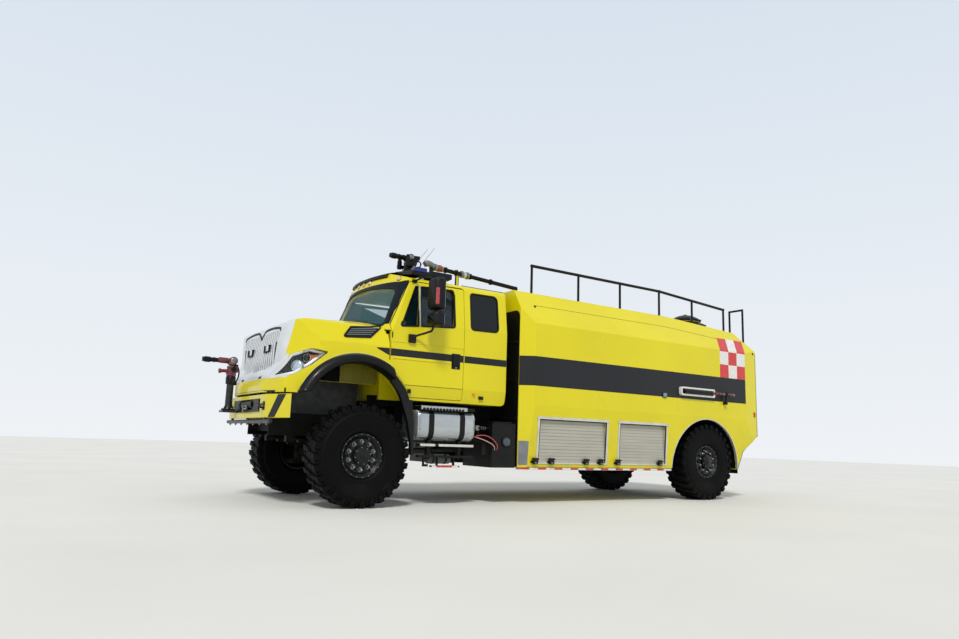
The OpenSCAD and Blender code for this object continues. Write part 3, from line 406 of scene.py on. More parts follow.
class Shape:
    """Faces of one piece, gathered before it becomes an object."""

    def __init__(self):
        self.verts, self.faces, self.mats, self.smooth = [], [], [], []

    def add(self, verts, faces, mat=0, smooth=False):
        start = len(self.verts)
        self.verts += [Vector(v) for v in verts]
        self.faces += [[start + i for i in f] for f in faces]
        self.mats += [mat]*len(faces)
        self.smooth += [smooth]*len(faces)

    def box(self, a, b, mat=0, bevel=0.0, turn=None):
        a, b = Vector(a), Vector(b)
        low = Vector(map(min, a, b))
        high = Vector(map(max, a, b))
        bm = bmesh.new()
        bmesh.ops.create_cube(bm, size=1)
        size = high - low
        for v in bm.verts:
            v.co = Vector(c*s for c, s in zip(v.co, size))
        if bevel:
            bmesh.ops.bevel(bm, geom=bm.edges[:], offset=min(bevel, min(size)*0.45), segments=2, profile=0.6,
                            affect="EDGES")
        middle = (low + high)/2
        for v in bm.verts:
            v.co = (turn @ v.co if turn else v.co) + middle
        bm.verts.index_update()
        self.add([v.co for v in bm.verts], [[v.index for v in f.verts] for f in bm.faces], mat, bool(bevel))
        bm.free()

    def loft(self, rings, mat=0, smooth=True, cap=True, closed=False):
        """Rings of equal count joined in order."""
        n = len(rings[0])
        verts = [p for ring in rings for p in ring]
        faces = []
        pairs = len(rings) if closed else len(rings) - 1
        for r in range(pairs):
            s = (r + 1) % len(rings)
            faces += [[r*n + i, r*n + (i + 1) % n, s*n + (i + 1) % n, s*n + i] for i in range(n)]
        if cap and not closed:
            faces += [list(range(n))[::-1], [(len(rings) - 1)*n + i for i in range(n)]]
        self.add(verts, faces, mat, smooth)

    def tube(self, points, radius, mat=0, sides=12, radii=None):
        pts = [Vector(p) for p in points]
        rings, across = [], None
        for i, p in enumerate(pts):
            along = (pts[min(i + 1, len(pts) - 1)] - pts[max(i - 1, 0)]).normalized()
            if across is None:
                across = along.orthogonal().normalized()
            across = (across - along*across.dot(along)).normalized()
            other = along.cross(across)
            r = radii[i] if radii else radius
            rings.append([p + r*(across*math.cos(2*math.pi*k/sides) + other*math.sin(2*math.pi*k/sides))
                          for k in range(sides)])
        self.loft(rings, mat)

    def lathe(self, centre, axis, profile, mat=0, sides=48, smooth=True, closed=True):
        """Turned form from pairs of radius and distance along the axis."""
        axis = Vector(axis).normalized()
        across = axis.orthogonal().normalized()
        other = axis.cross(across)
        centre = Vector(centre)
        rings = [[centre + axis*h + r*(across*math.cos(2*math.pi*k/sides) + other*math.sin(2*math.pi*k/sides))
                  for k in range(sides)] for r, h in profile]
        self.loft(rings, mat, smooth, cap=not closed, closed=closed)

    def rod(self, a, b, radius, mat=0, sides=16):
        self.tube([a, b], radius, mat, sides)

    def nut(self, centre, axis, radius, height, mat=0):
        axis = Vector(axis).normalized()
        self.lathe(Vector(centre), axis, [(radius*1.25, 0), (radius*1.25, height*0.15)], mat, 20, False, False)
        self.lathe(Vector(centre), axis, [(radius, height*0.1), (radius, height*0.85), (radius*0.82, height)], mat, 6,
                   False, False)

    def prism(self, outline, plane, d0, d1, mat=0, smooth=False):
        """Outline extruded from d0 to d1; plane names its two axes, such as xz."""
        order = {"xz": lambda p, d: (p[0], d, p[1]), "yz": lambda p, d: (d, p[0], p[1]),
                 "xy": lambda p, d: (p[0], p[1], d)}[plane]
        n = len(outline)
        verts = [order(p, d) for d in (d0, d1) for p in outline]
        faces = [[i, (i + 1) % n, n + (i + 1) % n, n + i] for i in range(n)]
        self.add(verts, faces, mat, smooth)
        self.add(verts, [list(range(n)), list(range(2*n - 1, n - 1, -1))], mat, False)

    def frame(self, outer, inner, place, depth, mat=0, smooth=False):
        """Ring between two outlines; place gives a point's position at a depth."""
        rings = [[place(p, 0) for p in inner], [place(p, 0) for p in outer], [place(p, depth) for p in outer],
                 [place(p, depth) for p in inner]]
        self.loft(rings, mat, smooth, closed=True)

    def sheet(self, grid, normal_grid, out, back, mat=0):
        """Thin closed plate over a grid of points, out above it and back below it."""
        rows, cols = len(grid), len(grid[0])
        top = [g + n*out for gr, nr in zip(grid, normal_grid) for g, n in zip(gr, nr)]
        low = [g - n*back for gr, nr in zip(grid, normal_grid) for g, n in zip(gr, nr)]
        size = rows*cols
        faces = []
        for r in range(rows - 1):
            for c in range(cols - 1):
                a, b, d, e = r*cols + c, r*cols + c + 1, (r + 1)*cols + c + 1, (r + 1)*cols + c
                faces += [[a, b, d, e], [size + e, size + d, size + b, size + a]]
        rim = [c for c in range(cols)] + [r*cols + cols - 1 for r in range(1, rows)]
        rim += [(rows - 1)*cols + c for c in range(cols - 2, -1, -1)] + [r*cols for r in range(rows - 2, 0, -1)]
        for i, a in enumerate(rim):
            b = rim[(i + 1) % len(rim)]
            faces.append([a, size + a, size + b, b])
        self.add(top + low, faces, mat)

    def mirrored(self):
        """The same faces on the other side of the truck as well."""
        start = len(self.verts)
        self.verts += [Vector((v.x, -v.y, v.z)) for v in self.verts[:start]]
        self.faces += [[start + i for i in f[::-1]] for f in self.faces[:]]
        self.mats += self.mats[:]
        self.smooth += self.smooth[:]
        return self

    def moved(self, matrix):
        self.verts = [matrix @ v for v in self.verts]
        return self

    def piece(self, name, body, *finishes, bevel=0.0, stands_for=(), shift=True):
        """Turns the faces into one object that rides on a body, or on none yet."""
        mesh = bpy.data.meshes.new(name)
        mesh.from_pydata([v + SHIFT if shift else v for v in self.verts], [], self.faces)
        for f in finishes:
            mesh.materials.append(MATERIALS[f])
        for polygon, mat, smooth in zip(mesh.polygons, self.mats, self.smooth):
            polygon.material_index = mat
            polygon.use_smooth = smooth
        bm = bmesh.new()
        bm.from_mesh(mesh)
        bmesh.ops.recalc_face_normals(bm, faces=bm.faces)
        bm.to_mesh(mesh)
        bm.free()
        mesh.validate()
        made = bpy.data.objects.new(name, mesh)
        bpy.context.scene.collection.objects.link(made)
        if bevel:
            soft = made.modifiers.new("bevel", "BEVEL")
            soft.width = bevel
            soft.segments = 2
            soft.limit_method = "ANGLE"
        if any(self.smooth):
            made.data.set_sharp_from_angle(angle=math.radians(38))
        if body:
            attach(made, body)
        if stands_for:
            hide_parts(*stands_for)
        return made


# Laying pieces on the CAD surfaces

TREES = {}


def surface(nodes):
    if nodes not in TREES:
        verts, faces = [], []
        for node in nodes:
            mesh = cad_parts[node].data
            start = len(verts)
            verts += [v.co - SHIFT for v in mesh.vertices]
            faces += [[start + i for i in p.vertices] for p in mesh.polygons]
        TREES[nodes] = BVHTree.FromPolygons(verts, faces)
    return TREES[nodes]


def laid(nodes, u, v, view):
    """Point and normal of the nodes' surface seen at u, v from the left, right, front, back or top."""
    start, way = {
        "left": ((u, 4, v), (0, -1, 0)), "right": ((u, -4, v), (0, 1, 0)), "front": ((4, u, v), (-1, 0, 0)),
        "back": ((-12, u, v), (1, 0, 0)), "top": ((u, v, 6), (0, 0, -1))}[view]
    tree = surface(nodes)
    point, normal, _, _ = tree.ray_cast(Vector(start), Vector(way))
    if point is None:
        aim = {"left": (u, CAB_Y, v), "right": (u, -CAB_Y, v), "front": (1, u, v), "back": (TAIL, u, v),
               "top": (u, v, 2.9)}[view]
        point, normal, _, _ = tree.find_nearest(Vector(aim))
    if normal.dot(Vector(way)) > 0:
        normal = -normal
    return point, normal


def patch(shape, nodes, corners, view, cells, out=0.002, back=0.004, mat=0):
    """Thin plate on the surface between four corners given in turn."""
    (a, b, c, d), (nu, nv) = [Vector(p) for p in corners], cells
    grid, normals = [], []
    for j in range(nv + 1):
        t = j/nv
        left, far = a.lerp(d, t), b.lerp(c, t)
        row = [laid(nodes, *left.lerp(far, i/nu), view) for i in range(nu + 1)]
        grid.append([p for p, _ in row])
        normals.append([n for _, n in row])
    shape.sheet(grid, normals, out, back, mat)


def ribbon(shape, nodes, inner, outer, view, out, back=0.004, mat=0):
    """Raised ring on the surface between two outlines of equal count."""
    low_in, low_out, top_in, top_out = [], [], [], []
    for p, q in zip(inner, outer):
        a, n = laid(nodes, *p, view)
        b, m = laid(nodes, *q, view)
        low_in.append(a - n*back)
        top_in.append(a + n*out)
        low_out.append(b - m*back)
        top_out.append(b + m*out)
    shape.loft([low_in, low_out, top_out, top_in], mat, False, closed=True)


# Body surfaces worked out from the same sizes as the CAD source

def body_y(x, z):
    """Half width of the tank body's side at x, z."""
    if z < 1.297:
        y = 1.22 + 0.055*(z - 0.475)/0.822
    elif z < 2.42:
        y = BODY_Y
    else:
        y = BODY_Y - 0.295*(z - 2.42)/0.48
    if x > SIDE_FRONT:
        y = min(y, BODY_Y - 0.13*(x - SIDE_FRONT)/(BODY_FRONT - SIDE_FRONT))
    if x < SIDE_REAR:
        y = min(y, BODY_Y - 0.04*(SIDE_REAR - x)/(SIDE_REAR - TAIL))
    return y


def roof_z(x):
    """Height of the body's roof at x."""
    return 2.9 - 0.11*max(0.0, -x - 5.2)/1.714


def body_strip(shape, x0, x1, z0, z1, out=0.002, mat=0, back=0.004):
    """Plate on the body's side whose edges follow its folds."""
    xs = sorted({x0, x1} | {x for x in (SIDE_FRONT, SIDE_REAR) if min(x0, x1) < x < max(x0, x1)})
    zs = sorted({z0, z1} | {z for z in (1.297, 2.42) if z0 < z < z1})
    grid = [[Vector((x, body_y(x, z), z)) for x in xs] for z in zs]
    normals = [[Vector((0, 1, 0)) for _ in xs] for _ in zs]
    shape.sheet(grid, normals, out, back, mat)


# Stripes, checker and reflective tape of the body

film = Shape()
body_strip(film, BODY_FRONT, SIDE_REAR, 1.562, 1.962)
film.mirrored().piece("body_stripe", "chassis", "stripe_film")

TANK = ("tank_body",)
CHECK_X = [-6.270, -6.485, -6.700, -6.914]
CHECK_Z = [1.964, 2.180, 2.398, 2.640]
CHECK_BACK = 0.10
reds, whites = Shape(), Shape()
for i in range(3):
    for j in range(3):
        back = CHECK_BACK if j == 2 else 0.0
        patch((reds if (i + j) % 2 == 0 else whites), TANK,
              [(CHECK_X[i], CHECK_Z[j]), (CHECK_X[i + 1], CHECK_Z[j]), (CHECK_X[i + 1] - back, CHECK_Z[j + 1]),
               (CHECK_X[i] - back, CHECK_Z[j + 1])], "left", (8, 12 if j == 2 else 1), 0.0025)
reds.mirrored().piece("checker_red", "chassis", "tape_red")
whites.mirrored().piece("checker_white", "chassis", "tape_white")

TAPE_STEP = 0.142
reds, whites, bar = Shape(), Shape(), Shape()
for i in range(20):
    x = -2.269 - i*TAPE_STEP
    body_strip((whites if i % 2 else reds), x, x - TAPE_STEP, 0.4495, 0.4725, 0.005)
body_strip(bar, -2.269, -5.14, 0.446, 0.4745, 0.002, 0, 0.045)
reds.mirrored().piece("edge_tape_red", "chassis", "tape_red")
whites.mirrored().piece("edge_tape_white", "chassis", "tape_white")
bar.mirrored().piece("lower_rails", "chassis", "bright_trim")

# Locker frames with their latches

LOCKERS = [(-2.540, -3.760, 0.545, 1.120), (-4.020, -4.990, 0.545, 1.120)]
LATCHES = (-2.481, -2.760, -3.382, -3.657, -3.990, -4.860)
frames, latches, gaskets = Shape(), Shape(), Shape()
for x0, x1, z0, z1 in LOCKERS:
    edge = 0.030
    body_strip(frames, x0 + edge + 0.012, x1 - edge - 0.012, z1, z1 + 0.034, 0.016)
    body_strip(frames, x0 + edge, x1 - edge, z0 - 0.020, z0, 0.010)
    body_strip(frames, x0 + edge, x0, z0, z1, 0.010)
    body_strip(frames, x1, x1 - edge, z0, z1, 0.010)
    for x in (x0, x1 + 0.014):
        body_strip(gaskets, x, x - 0.014, z0, z1, 0.004)
    body_strip(gaskets, x0, x1, z1 - 0.014, z1, 0.006)
    gaskets.rod((x0 - 0.02, body_y(x0, z0) - 0.012, z0 + 0.024), (x1 + 0.02, body_y(x0, z0) - 0.012, z0 + 0.024), 0.011)
for x in LATCHES:
    y = body_y(x, 0.56)
    latches.box((x - 0.058, y - 0.02, 0.532), (x + 0.058, y + 0.024, 0.568), 0, 0.008)
    latches.box((x - 0.036, y + 0.010, 0.520), (x + 0.036, y + 0.044, 0.604), 0, 0.010)
    latches.rod((x - 0.054, y + 0.034, 0.588), (x + 0.054, y + 0.034, 0.588), 0.012, 0)
    latches.box((x - 0.018, y + 0.040, 0.530), (x + 0.018, y + 0.047, 0.548), 1, 0.003)
frames.mirrored().piece("locker_frames", "chassis", "bright_trim")
gaskets.mirrored().piece("locker_gaskets", "chassis", "seal")
latches.mirrored().piece("locker_latches", "chassis", "black_plastic", "zinc")

# Rear arch trim and liner, fold line and edges of the body

ARCH_X, ARCH_Z, ARCH_R = -5.930, 0.475, 0.783
steps = 48
low, high = 0.02, math.pi - 0.02
angles = [low + (high - low)*i/steps for i in range(steps + 1)]
trim = Shape()
rings = []
for a in angles:
    ring = []
    for r, out in ((ARCH_R - 0.002, -0.03), (ARCH_R + 0.010, -0.03), (ARCH_R + 0.010, 0.006), (ARCH_R - 0.002, 0.006)):
        x, z = ARCH_X + r*math.cos(a), ARCH_Z + r*math.sin(a)
        ring.append(Vector((x, body_y(x, z) + out, z)))
    rings.append(ring)
trim.loft(rings, smooth=False)
trim.mirrored().piece("rear_arch_trim", "chassis", "bright_trim")

liner = Shape()
grid, normals = [], []
for a in angles:
    x, z = ARCH_X + ARCH_R*math.cos(a), ARCH_Z + ARCH_R*math.sin(a)
    edge = body_y(x, z) - 0.035
    grid.append([Vector((x, 0.502 + (edge - 0.502)*k/4, z)) for k in range(5)])
    normals.append([Vector((-math.cos(a), 0, -math.sin(a)))]*5)
liner.sheet(grid, normals, 0.006, -0.001)
WALL_Z = 1.064
cut = math.asin((WALL_Z - ARCH_Z)/(ARCH_R - 0.008))
arc = [cut + (math.pi - 2*cut)*i/24 for i in range(25)]
liner.prism([(ARCH_X + (ARCH_R - 0.008)*math.cos(a), ARCH_Z + (ARCH_R - 0.008)*math.sin(a)) for a in arc], "xz",
            0.501, 0.507)
liner.mirrored().piece("rear_arch_liners", "chassis", "liner_black")

# Fold lines of the body as strips of the darker yellow: painted shade in the crease.
folds = Shape()
for i in range(12):
    ends = [Vector((x, body_y(x, roof_z(x) - 0.205), roof_z(x) - 0.205)) for x in (-2.53 - i*0.33, -2.53 - (i + 1)*0.33)]
    low_edge, high_edge = Vector((0, 0.0018, -0.003)), Vector((0, -0.0018, 0.003))
    folds.sheet([[p + low_edge for p in ends], [p + high_edge for p in ends]], [[Vector((0, 0.85, 0.52))]*2]*2, 0.0015,
                0.004)
folds.mirrored().piece("body_fold_lines", "chassis", "painted_shade_yellow")

edges = Shape()
for (x0, z0), (x1, z1) in (((TAIL, 2.44), (TAIL, 1.034)), ((TAIL, 1.034), (-6.853, 0.772)), ((-6.853, 0.772), (-6.724, 0.480))):
    edges.rod((x0, body_y(x0, z0) - 0.003, z0), (x1, body_y(x1, z1) - 0.003, z1), 0.0065, 0, 8)
edges.mirrored().piece("tail_edges", "chassis", "seal")

plate = Shape()
patch(plate, TANK, [(-2.272, 0.505), (-2.371, 0.508), (-2.384, 0.822), (-2.272, 0.822)], "left", (8, 2), 0.003)
plate.mirrored().piece("chamfer_plates", "chassis", "grey_metal")

bits = Shape()
for x, z in ((-2.530, 2.675), (-7.178, 2.431)):
    bits.lathe((x, body_y(x, z) - 0.006, z), (0, 1, 0.4), [(0.018, 0), (0.018, 0.012), (0.010, 0.018)], 1, 16, closed=False)
bits.box((-4.895, BODY_Y - 0.004, 1.548), (-4.985, BODY_Y + 0.010, 1.628), 1, 0.008)
bits.box((-4.903, BODY_Y + 0.002, 1.556), (-4.977, BODY_Y + 0.026, 1.620), 0, 0.012)
bits.mirrored().piece("side_lamps", "chassis", "smoke_lens", "seal")
rears = Shape()
rears.box((-7.190, 1.232, 1.350), (-7.155, 1.262, 1.430), bevel=0.006)
rears.mirrored().piece("rear_side_markers", "chassis", "red_lens")

tool = Shape()
outline = fillet([(-6.069, 1.608, 0.03), (-5.272, 1.608, 0.03), (-5.272, 1.742, 0.03), (-6.069, 1.742, 0.03)], 4)
tool.frame(outline, grown(outline, -0.026), lambda p, d: (p[0], BODY_Y + 0.002 + d, p[1]), 0.050, 0)
tool.prism(grown(outline, -0.024), "xz", BODY_Y - 0.002, BODY_Y + 0.012, 1)
tool.rod((-5.33, BODY_Y + 0.046, 1.674), (-5.99, BODY_Y + 0.046, 1.674), 0.038, 1)
tool.rod((-5.86, BODY_Y + 0.050, 1.676), (-6.56, BODY_Y + 0.046, 1.686), 0.019, 2)
for x, r, mat in ((-6.09, 0.034, 2), (-6.17, 0.028, 2), (-6.28, 0.026, 3), (-6.345, 0.034, 1), (-6.44, 0.026, 2),
                  (-6.52, 0.023, 3)):
    tool.lathe((x, BODY_Y + 0.048, 1.682), (1, 0, 0), [(r*0.9, -0.020), (r, -0.014), (r, 0.014), (r*0.9, 0.020)], mat, 16,
               closed=False)
tool.rod((-6.345, BODY_Y - 0.01, 1.690), (-6.345, BODY_Y + 0.060, 1.690), 0.018, 1)
tool.rod((-6.345, BODY_Y + 0.048, 1.70), (-6.345, BODY_Y + 0.048, 1.53), 0.014, 1)
tool.box((-6.372, BODY_Y, 1.515), (-6.318, BODY_Y + 0.06, 1.560), 1, 0.008)
for x in (-5.30, -6.04):
    tool.nut((x, BODY_Y + 0.050, 1.675), (0, 1, 0), 0.010, 0.008, 3)
tool.piece("tool_bracket", "chassis", "tape_white", "black_paint", "monitor_red", "zinc")

# Rear face, hidden in the photograph, finished with what such bodies carry

back = Shape()
back.box((TAIL - 0.030, -0.42, 1.12), (TAIL + 0.01, 0.42, 1.16), 0, 0.006)
for i in range(16):
    back.box((TAIL - 0.020, -0.40, 1.17 + i*0.055), (TAIL + 0.01, 0.40, 1.17 + i*0.055 + 0.047), 0, 0.010)
outline = fillet([(-0.43, 1.10, 0.02), (0.43, 1.10, 0.02), (0.43, 2.08, 0.02), (-0.43, 2.08, 0.02)], 4)
back.frame(outline, grown(outline, -0.03), lambda p, d: (TAIL + 0.005 - d, p[0], p[1]), 0.035, 1)
back.box((TAIL - 0.045, -0.07, 1.125), (TAIL - 0.012, 0.07, 1.165), 2, 0.010)
back.piece("rear_shutter", "chassis", "shutter", "bright_trim", "black_plastic")
lamps = Shape()
for k, mat in enumerate((0, 0, 1, 2)):
    z = 1.16 + k*0.125
    lamps.lathe((TAIL - 0.001, 1.10, z), (-1, 0, 0), [(0.052, 0), (0.052, 0.014), (0.047, 0.024), (0.020, 0.030)], mat,
                28, closed=False)
    lamps.lathe((TAIL - 0.001, 1.10, z), (-1, 0, 0), [(0.060, 0), (0.060, 0.010), (0.052, 0.012)], 3, 28, closed=False)
lamps.mirrored().piece("tail_lamps", "chassis", "red_lens", "amber_lens", "white_lens", "seal")
tapes, pales = Shape(), Shape()
for k in range(8):
    (pales if k % 2 else tapes).box((TAIL - 0.003, 1.21, 1.70 + k*0.09), (TAIL + 0.002, 1.16, 1.79 + k*0.09))
tapes.mirrored().piece("rear_tape_red", "chassis", "tape_red")
pales.mirrored().piece("rear_tape_white", "chassis", "tape_white")
fitting = Shape()
for y in (-0.95, -0.72):
    fitting.lathe((TAIL, y, 1.30), (-1, 0, 0), [(0.075, 0), (0.075, 0.020), (0.055, 0.022), (0.055, 0.060),
                  (0.068, 0.064), (0.068, 0.100), (0.050, 0.106)], 0, 32, closed=False)
    for a in range(4):
        angle = math.radians(45 + a*90)
        spot = (TAIL - 0.083, y + 0.066*math.cos(angle), 1.30 + 0.066*math.sin(angle))
        fitting.box([c - 0.011 for c in spot], [c + 0.011 for c in spot], 0, 0.004)
fitting.box((TAIL - 0.018, -0.16, 1.035), (TAIL + 0.002, 0.16, 1.095), 1, 0.004)
fitting.piece("rear_couplings", "chassis", "grey_metal", "bright_trim")
beacon = Shape()
for y in (1.06, -1.06):
    beacon.box((TAIL + 0.085, y - 0.05, 2.44), (TAIL + 0.01, y + 0.05, 2.515), 1, 0.006)
    beacon.lathe((TAIL + 0.045, y, 2.510), (0, 0, 1), [(0.050, 0), (0.050, 0.05), (0.040, 0.078), (0.018, 0.090)], 0, 28,
                 closed=False)
beacon.piece("rear_beacons", "chassis", "blue_lens", "black_plastic")

# Clamps and hinges of the roof lids, from X, Y, radius and collar height

for name, x, y, radius, rise in (("front_lid", -6.345, 0.500, 0.256, 0.150), ("rear_lid", -6.730, 0.480, 0.105, 0.140)):
    z = roof_z(x) + rise
    cap, base = Shape(), Shape()
    count = 6 if radius > 0.2 else 4
    for a in range(count):
        angle = math.radians(a*360/count + (0 if count == 6 else 45))
        out, turn = Vector((math.cos(angle), math.sin(angle), 0)), Matrix.Rotation(angle, 3, "Z")
        spot = Vector((x, y, z)) + out*(radius + 0.004)
        cap.box(spot - Vector((0.008, 0.018, -0.004)), spot + Vector((0.008, 0.018, 0.034)), 0, 0.004, turn)
        cap.rod(spot + out*0.010 + Vector((0, 0, 0.006)), spot + out*0.010 + Vector((0, 0, 0.046)), 0.006, 1, 10)
    dome = 0.125 if radius > 0.2 else 0.070
    cap.lathe((x, y, z + dome - 0.003), (0, 0, 1), [(0.030, 0.0), (0.030, 0.012), (0.022, 0.018)], 0, 24, closed=False)
    pin = y - radius - 0.004
    cap.rod((x - 0.022, pin, z), (x + 0.022, pin, z), 0.010, 1)
    cap.box((x - 0.018, pin, z + 0.003), (x + 0.018, pin + 0.020, z + 0.020), 0, 0.003)
    for s in (-1, 1):
        base.rod((x + s*0.026, pin, z), (x + s*0.060, pin, z), 0.010, 0)
        base.box((x + s*0.028, pin - 0.012, z - rise - 0.006), (x + s*0.056, pin + 0.006, z), 0, 0.004)
    base.lathe((x, y, z - rise - 0.03), (0, 0, 1), [(radius - 0.017, 0.0), (radius - 0.012, 0.0), (radius - 0.012, rise - 0.01),
               (radius - 0.010, rise + 0.010), (radius - 0.010, rise + 0.016), (radius - 0.017, rise + 0.016)], 0, 56)
    cap.piece(name + "_clamps", name, "black_paint", "zinc")
    base.piece(name + "_hinge_base", "chassis", "black_paint")

# Wheels: tyres with two rows of slanted lugs, nuts and hub covers

TYRE_R, TYRE_HALF, LUGS = 0.590, 0.1975, 28
LUG_WIDTH, LUG_SLANT = 0.066, math.tan(math.radians(14))
NUT_RING = 0.1575


def arc_block(shape, angle, side, rows, slant, mat=0):
    """Tread block on the tyre from rows of radius, width, inner and outer distance from the tyre's middle."""
    rings = []
    for r, width, y0, y1 in rows:
        ring = []
        for s, y in ((-1, y0), (1, y0), (1, y1), (-1, y1)):
            a = angle + (s*width/2 + side*slant*(y - 0.1))/r
            ring.append((r*math.sin(a), side*y, r*math.cos(a)))
        rings.append(ring)
    shape.loft(rings, mat, False)


def tyre_shape():
    """Tyre with lugs, grooves between their halves and blocks on the shoulders."""
    tyre = Shape()
    crown, half = TYRE_R - 0.024, TYRE_HALF - 0.008
    profile = [(0.256, 0.042), (0.268, 0.024), (0.286, 0.010), (0.300, 0.007), (0.306, 0.010), (0.330, 0.005),
               (0.380, 0.001), (0.430, 0.0), (0.462, 0.001), (0.466, -0.003), (0.474, -0.003), (0.479, 0.002),
               (0.505, 0.006), (0.530, 0.013), (0.548, 0.024), (crown - 0.004, 0.044), (crown, 0.080)]
    outline = [(r, d - half) for r, d in profile] + [(r, half - d) for r, d in profile[::-1]]
    tyre.lathe((0, 0, 0), (0, 1, 0), outline, 0, 112)
    top = TYRE_R
    for i in range(LUGS):
        for side in (-1, 1):
            a = (i + (0.5 if side < 0 else 0))*2*math.pi/LUGS
            for y0, y1, w in ((0.012, 0.088, 0.056), (0.094, TYRE_HALF - 0.010, LUG_WIDTH)):
                arc_block(tyre, a, side, [(crown - 0.012, w, y0, y1), (top - 0.006, w - 0.004, y0 + 0.001, y1 - 0.001),
                          (top, w - 0.014, y0 + 0.006, y1 - 0.007)], LUG_SLANT)
            out = TYRE_HALF - 0.004
            arc_block(tyre, a, side, [(0.512, 0.040, out - 0.03, out - 0.004), (0.520, 0.052, out - 0.03, out),
                      (0.556, 0.060, out - 0.04, out), (top - 0.008, 0.062, out - 0.06, out - 0.012)], LUG_SLANT)
            arc_block(tyre, a + math.pi/LUGS, side, [(0.520, 0.020, out - 0.03, out - 0.010),
                      (0.552, 0.022, out - 0.05, out - 0.010), (crown + 0.006, 0.018, out - 0.07, out - 0.030)], LUG_SLANT)
    return tyre


def wheel_trim(side):
    """Nuts, hub cover and valve on a wheel's outer face."""
    trim = Shape()
    for i in range(10):
        a = i*math.pi/5
        trim.nut((NUT_RING*math.sin(a), side*0.117, NUT_RING*math.cos(a)), (0, side, 0), 0.021, 0.040, 0)
        trim.lathe((NUT_RING*math.sin(a), side*0.150, NUT_RING*math.cos(a)), (0, side, 0), [(0.012, 0), (0.012, 0.018),
                   (0.009, 0.021)], 0, 12, closed=False)
    trim.lathe((0, side*0.170, 0), (0, side, 0), [(0.088, -0.004), (0.088, 0.012), (0.080, 0.017)], 1, 40, closed=False)
    for i in range(8):
        a = i*math.pi/4 + 0.2
        trim.nut((0.094*math.sin(a), side*0.1685, 0.094*math.cos(a)), (0, side, 0), 0.0075, 0.010, 0)
    trim.lathe((0, side*0.187, 0), (0, side, 0), [(0.040, -0.004), (0.040, 0.010), (0.034, 0.014)], 1, 6, False, False)
    for i in range(20):
        a = i*math.pi/10 + 0.08
        trim.nut((0.2440*math.sin(a), side*0.1555, 0.2440*math.cos(a)), (0, side, 0), 0.0065, 0.008, 0)
    trim.rod((0.20, side*0.120, 0.02), (0.215, side*0.150, 0.02), 0.006, 1, 10)
    return trim


for name, x, side in (("front_left", 0, 1), ("front_right", 0, -1), ("rear_left", -WHEELBASE, 1),
                      ("rear_right", -WHEELBASE, -1)):
    place = Matrix.Translation((x, side*WHEEL_Y, HUB_Z))
    tyre_shape().moved(place).piece("tread_" + name, "wheel_" + name, "rubber", stands_for=["tyre_" + name])
    wheel_trim(side).moved(place).piece("wheel_trim_" + name, "wheel_" + name, "nut_steel", "rim_paint")

# Tanks with domed ends, step plates and what hangs between the axles

outline = fillet([(0.570, 0.788, 0.06), (1.130, 0.788, 0.12), (1.130, 1.157, 0.09), (0.570, 1.157, 0.06)], 8)
domes = Shape()
for x, way in ((-1.575, -1), (-0.781, 1)):
    rings = [[(x + way*reach, p.x, p.y) for p in grown(outline, -cut)] for reach, cut in
             ((-0.004, 0.0), (0.0, 0.0), (0.010, 0.004), (0.020, 0.014), (0.028, 0.032), (0.033, 0.056), (0.035, 0.085))]
    domes.loft(rings, 0)
    domes.loft([[(x - way*0.012 + 0.004*math.cos(b), c.x, c.y) for c in grown(outline, 0.0024*math.sin(b))]
                for b in (0.0, 1.57, 3.14, 4.71)], 0, True, closed=True)
domes.mirrored().piece("tank_ends", "chassis", "tank_metal")

plates, holes = Shape(), Shape()
plates.box((-1.460, 0.872, 1.2052), (-0.790, 1.144, 1.2120), 0, 0.002)
plates.box((-1.460, 1.1385, 1.1620), (-0.790, 1.1440, 1.2120), 0, 0.002)
# The perforations are flat black discs on the plates: painted shade of the holes.
for i in range(13):
    x = -0.83 - i*0.047
    for y in (0.92, 0.98, 1.04, 1.10):
        holes.lathe((x + (0.012 if y in (0.98, 1.10) else 0), y, 1.2118), (0, 0, 1), [(0.015, 0), (0.015, 0.0012),
                    (0.009, 0.0013)], 0, 14, closed=False)
    holes.lathe((x, 1.1432, 1.168), (0, 1, 0), [(0.021, 0), (0.021, 0.0012), (0.008, 0.0014)], 0, 18, closed=False)
plates.mirrored().piece("step_plates", "chassis", "aluminium")
holes.mirrored().piece("step_plate_holes", "chassis", "lamp_black")
bars, tapes, pales, hooks = Shape(), Shape(), Shape(), Shape()
for x0, x1 in ((-0.800, -1.010), (-1.060, -1.570)):
    bars.box((x0, 1.100, 0.7165), (x1, 1.1410, 0.7470), 0, 0.004)
for x0, x1, strips in ((-0.975, -1.035, pales), (-1.035, -1.262, tapes), (-1.262, -1.345, pales), (-1.345, -1.372, tapes)):
    strips.box((x0, 1.130, 0.4635), (x1, 1.1385, 0.4850))
for x0, x1, z0, z1 in ((-0.860, -0.888, 0.470, 0.610), (-0.888, -0.940, 0.470, 0.500)):
    hooks.box((x0, 1.085, z0), (x1, 1.100, z1), 0, 0.004)
hooks.box((-0.975, 1.066, 0.4640), (-1.372, 1.1300, 0.4845), 0, 0.003)
bars.mirrored().piece("step_bars", "chassis", "bright_trim")
hooks.mirrored().piece("step_hooks", "chassis", "black_paint")
tapes.mirrored().piece("step_tape_red", "chassis", "tape_red")
pales.mirrored().piece("step_tape_white", "chassis", "tape_white")

under = Shape()
under.lathe((-1.34, 0.93, 0.560), (1, 0, 0), [(0.020, -0.012), (0.046, -0.002), (0.060, 0.016), (0.060, 0.324),
            (0.046, 0.342), (0.020, 0.352)], 0, 36, closed=False)
for x in (-1.26, -1.08):
    under.lathe((x, 0.93, 0.560), (1, 0, 0), [(0.063, -0.014), (0.063, 0.014)], 1, 36, closed=False)
    under.rod((x, 0.93, 0.62), (x, 0.93, 0.790), 0.009, 1)
under.mirrored().piece("air_tanks", "chassis", "tank_green", "black_paint")
